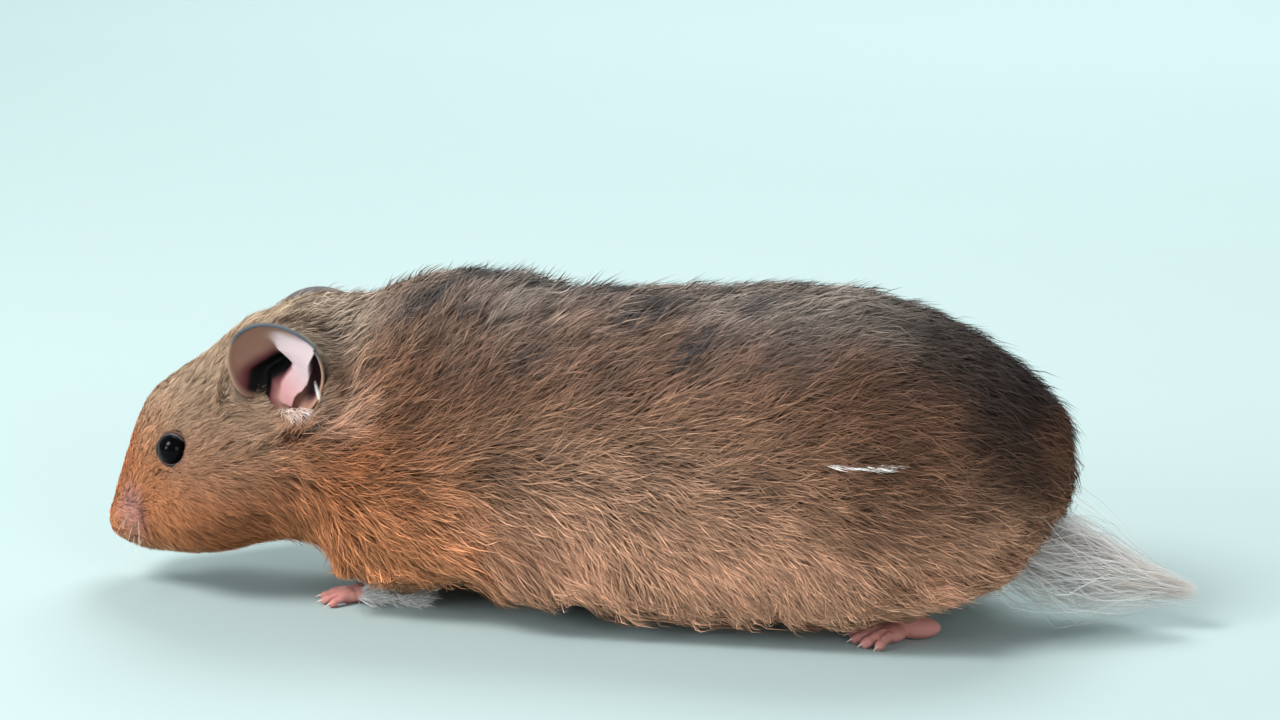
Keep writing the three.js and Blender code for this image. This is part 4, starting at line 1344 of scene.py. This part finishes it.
def make_foot(leg_name):
    """A bare foot. Gives each toe's tip, a place ahead of it and its radius, for the claws."""
    leg = LEGS[leg_name]
    kind = leg["kind"]
    foot = FEET[kind]
    balls = [(np.array(p), r) for p, r in foot["pads"]]
    shares = np.linspace(0, 1, 11)
    tips = []
    for toe in foot["toes"]:
        path = toe_path(kind, toe, shares)
        swell = np.interp(shares, [0, 0.3, 0.45, 0.6, 0.78, 0.92, 1.0], [1, 1.04, 0.9, 0.98, 0.86, 1.05, 0.9])
        balls += [(p, (toe[3] * s,) * 3) for p, s in zip(path, swell)]
        tips.append((path[-1], unit(path[-1] - path[-3]), toe[3]))
    placed = [(foot_to_body(np.array([p]), leg)[0], r) for p, r in balls]
    name = leg_name.replace("leg", "foot")
    obj = fused_balls(name + "_skin", placed, 0.2, 4)
    points, _, _ = mesh_arrays(obj.data)
    points[:, 2] = np.maximum(points[:, 2], 0.05 + 0.02 * points[:, 2])
    set_points(obj.data, points)
    fold = 0.5 + 0.5 * lattice_noise(points, 0.9, 7)
    crease = 0.5 * fold * (1 - ramp(points[:, 2], 0.2, 1.6)) + 0.12
    tint = blend(filled(FOOT_PINK, len(points)), FOOT_CREASE, crease)
    add_attribute(obj.data, "tint", "FLOAT_COLOR", with_alpha(tint))
    obj.data.materials.append(paw_material)
    dressed(obj, (name,))
    return [(*foot_to_body(np.array([p, p + d]), leg), radius) for p, d, radius in tips]


def tube_arrays(path, radii, sides):
    """Points and faces of a closed tube along a path."""
    way = unit(np.gradient(path, axis=0))
    across = unit(np.cross(way, (0.1, 0.2, 1.0)))
    over = np.cross(across, way)
    angle = 2 * np.pi * np.arange(sides) / sides
    ring = across[:, None] * np.cos(angle)[None, :, None] + over[:, None] * np.sin(angle)[None, :, None]
    points = (path[:, None] + radii[:, None, None] * ring).reshape(-1, 3)
    points = np.vstack([points, path[:1], path[-1:]])
    count = len(path)
    faces = []
    for i in range(count - 1):
        for j in range(sides):
            k = (j + 1) % sides
            faces.append((i * sides + j, i * sides + k, (i + 1) * sides + k, (i + 1) * sides + j))
    for j in range(sides):
        k = (j + 1) % sides
        faces.append((count * sides, k, j))
        faces.append((count * sides + 1, (count - 1) * sides + j, (count - 1) * sides + k))
    return points, faces


def joined_tubes(name, tubes, material):
    """One piece of many closed tubes, each a path, its radii, its sides and its colour."""
    points, faces, tints, base = [], [], [], 0
    for path, radii, sides, tint in tubes:
        p, f = tube_arrays(path, radii, sides)
        points.append(p)
        faces += [tuple(base + i for i in face) for face in f]
        tints.append(filled(tint, len(p)))
        base += len(p)
    make_piece(name, np.vstack(points), faces, np.vstack(tints), material)


def make_feet():
    claws = []
    for leg_name in LEGS:
        nail = FEET[LEGS[leg_name]["kind"]]["nail"]
        for tip, ahead, radius in make_foot(leg_name):
            way = unit((ahead - tip) * (1, 1, 0.3))
            t = np.linspace(0, 1, 8)[:, None]
            arch = np.array([0, 0, 1.0]) * (0.28 * np.sin(np.pi * t * 0.9) - 0.25 * t)
            path = tip + way * (t * (nail + 0.5) - 0.3) + arch
            path[:, 2] = np.maximum(path[:, 2], 0.16)
            radii = radius * 0.42 * np.linspace(1, 0.12, 8)
            claws.append((path, radii, 8, CLAW))
    joined_tubes("claws", claws, claw_material)


# ---- tail tuft, whiskers and pale hairs ---------------------------------------------------------

# The tail's tuft from root to tip: its middle line (at, y, z) and its half-width.
TUFT = [
    (150, 0.5, 16.0, 5.5), (162, 0.8, 13.8, 7.3), (173, 0.8, 10.8, 5.6), (182, 0.4, 8.4, 3.2),
    (190.5, 0, 7.0, 0.9),
]
TUFT_HAIRS, TUFT_LOCKS, TUFT_STEPS = 4800, 120, 7
TUFT_LOOSE = 0.42  # the share of its hairs that are loose and curly
TAIL_SKIN = srgb(205, 170, 148)


def along_nodes(nodes, t):
    """Values along a chain of nodes, evenly spaced in t from 0 to 1, with smooth joins."""
    nodes = np.array(nodes, dtype=float)
    x = np.clip(t, 0, 1) * (len(nodes) - 1)
    i = np.clip(x.astype(int), 0, len(nodes) - 2)
    f = (x - i)[:, None]
    before, after = nodes[np.maximum(i - 1, 0)], nodes[np.minimum(i + 2, len(nodes) - 1)]
    a, b = nodes[i], nodes[i + 1]
    return 0.5 * (2 * a + (b - before) * f + (2 * before - 5 * a + 4 * b - after) * f ** 2
                  + (3 * a - before - 3 * b + after) * f ** 3)


def make_tuft():
    """The tail's hairs: each runs along the middle line and is drawn towards the lock it belongs to."""
    rng = np.random.default_rng(SEED + 5)
    count = TUFT_HAIRS
    start = rng.uniform(0.0, 0.5, count) ** 1.2
    reach = np.minimum(start + rng.uniform(0.3, 0.7, count), 1.0 + 0.03 * rng.random(count))
    turn = rng.uniform(0, 2 * np.pi, count)
    loose = rng.random(count) < TUFT_LOOSE
    spread = np.abs(rng.normal(0, 0.42, count)) * np.where(loose, 2.0, 1.0)
    curl = rng.normal(0, 0.25, (2, count)) * np.where(loose, 3.6, 1.4)
    phase = rng.uniform(0, 2 * np.pi, count)
    shares = np.linspace(0, 1, TUFT_STEPS)
    paths = np.empty((count, TUFT_STEPS, 3))
    locks = rng.integers(0, TUFT_LOCKS, count)
    lock_turn, lock_spread = rng.uniform(0, 2 * np.pi, TUFT_LOCKS), np.sqrt(rng.random(TUFT_LOCKS))
    wave = rng.normal(0, 0.35, (2, TUFT_LOCKS))
    for i, s in enumerate(shares):
        t = start + (reach - start) * s
        node = along_nodes(TUFT, t)
        pull = 0.5 * s
        radial = spread * (1 - pull) + lock_spread[locks] * pull
        wide = node[:, 3] * (0.5 + 0.5 * ramp(s, 0.0, 0.3)) * radial
        heading = turn + pull * np.angle(np.exp(1j * (lock_turn[locks] - turn)))
        paths[:, i, 0] = node[:, 0] + NOSE_X
        paths[:, i, 1] = node[:, 1] + wide * np.cos(heading) + wave[0][locks] * np.sin(4 * t + locks)
        paths[:, i, 2] = node[:, 2] + wide * np.sin(heading) + wave[1][locks] * np.sin(5 * t + locks)
        paths[:, i, 1] += curl[0] * s * np.sin(5 * s + phase)
        paths[:, i, 2] += curl[1] * s * np.cos(5 * s + phase)
    paths += rng.normal(0, 0.6, (count, 1, 3)) * shares[None, :, None] ** 1.5
    paths[:, :, 2] = np.maximum(paths[:, :, 2], 0.3)
    middle = paths.mean(axis=0)
    shading = unit(paths - middle[None] + np.array([0, -2.0, 5.0]) + rng.normal(0, 1.6, (count, 1, 3)))
    way = unit(paths[:, -1] - paths[:, 0])
    across = turned(unit(np.cross(way, shading.mean(axis=1))), way, rng.uniform(-1, 1, count))
    creamy = 0.45 * ramp(rng.random(count) + 0.5 * (1 - spread), 0.5, 1.2)
    tips = blend(filled(HAIR["white"], count), HAIR["cream"], creamy)
    tips = tips * rng.uniform(0.82, 1.03, count)[:, None]
    uv = np.stack([0.01 + 0.98 * start / start.max(), 0.01 + 0.98 * turn / (2 * np.pi)], axis=1)
    width = 0.1 * rng.uniform(0.7, 1.2, count)
    strand_mesh(
        "tail_tuft", (paths, across, shading), width, uv, tips, tips * 0.92, silk, shares,
    )


def make_tail_core():
    """The short tail itself, under its tuft."""
    nodes = along_nodes(TUFT, np.linspace(0, 0.55, 16))
    balls = [(body_point(at, y, z), (0.34 * width,) * 3) for at, y, z, width in nodes]
    core = fused_balls("tail_core", balls, 0.3, 6)
    colours = with_alpha(filled(TAIL_SKIN, len(core.data.vertices)))
    add_attribute(core.data, "tip_colour", "FLOAT_COLOR", colours)
    core.data.materials.append(skin_material())
    dressed(core, ("tail",))


# Rows of whiskers on the pad: the root of each (at, y, z).
WHISKER_ROOTS = [
    (5.2, 5.6, 14.2), (6.6, 6.6, 13.6), (8.0, 7.4, 13.0), (5.6, 6.0, 12.4), (7.0, 7.0, 11.8),
    (8.4, 7.8, 11.2), (5.8, 6.0, 10.6), (7.2, 6.9, 10.0), (8.6, 7.6, 9.4),
]
WHISKER_PALE = srgb(228, 222, 214)


def make_whiskers():
    """Whiskers that leave the pad sideways and droop towards their tips."""
    rng = np.random.default_rng(SEED + 9)
    tubes = []
    for mirror in (1, -1):
        for at, y, z in WHISKER_ROOTS:
            t = np.linspace(0, 1, 9)[:, None]
            length = 9.0 + 1.3 * (at - 5) + rng.normal(0, 1.0)
            way = unit(np.array([-0.1 + 0.09 * (at - 5), 1.0, 0.10 * (z - 12.5)]) + rng.normal(0, 0.08, 3))
            droop = np.array([0.15, 0, -1.0]) * (0.16 + 0.05 * rng.random()) * length
            path = body_point(at, y - 0.8, z) + way * length * t + droop * t ** 2.2
            path[:, 2] = np.maximum(path[:, 2], 0.4)
            tubes.append((path * (1, mirror, 1), np.linspace(0.045, 0.015, 9), 5, WHISKER_PALE))
    joined_tubes("whiskers", tubes, whisker_material)


make_camera()
make_light()
make_floor()
ear_material = bare_material("ear_skin", 0.55, bump=0.3, scale=1400.0)
lid_material = bare_material("lid_skin", 0.35, bump=0.2, scale=1800.0, coat=0.2)
damp_material = bare_material("nose_skin", 0.4, bump=0.5, scale=2500.0, coat=0.15)
paw_material = bare_material("paw_skin", 0.45, bump=0.6, scale=1600.0, coat=0.1)
claw_material = bare_material("claw_horn", 0.3, scale=1200.0)
whisker_material = bare_material("whisker", 0.35, scale=500.0)
silk = fur_material("tail_hair", 0.45)
black = eye_material()

skin = make_skin()
make_coat(skin)
for side in ("left", "right"):
    make_ear(side)
    make_ear_fringe(side)
    make_eye(side)
make_nose()
make_feet()
make_tail_core()
make_tuft()
make_whiskers()
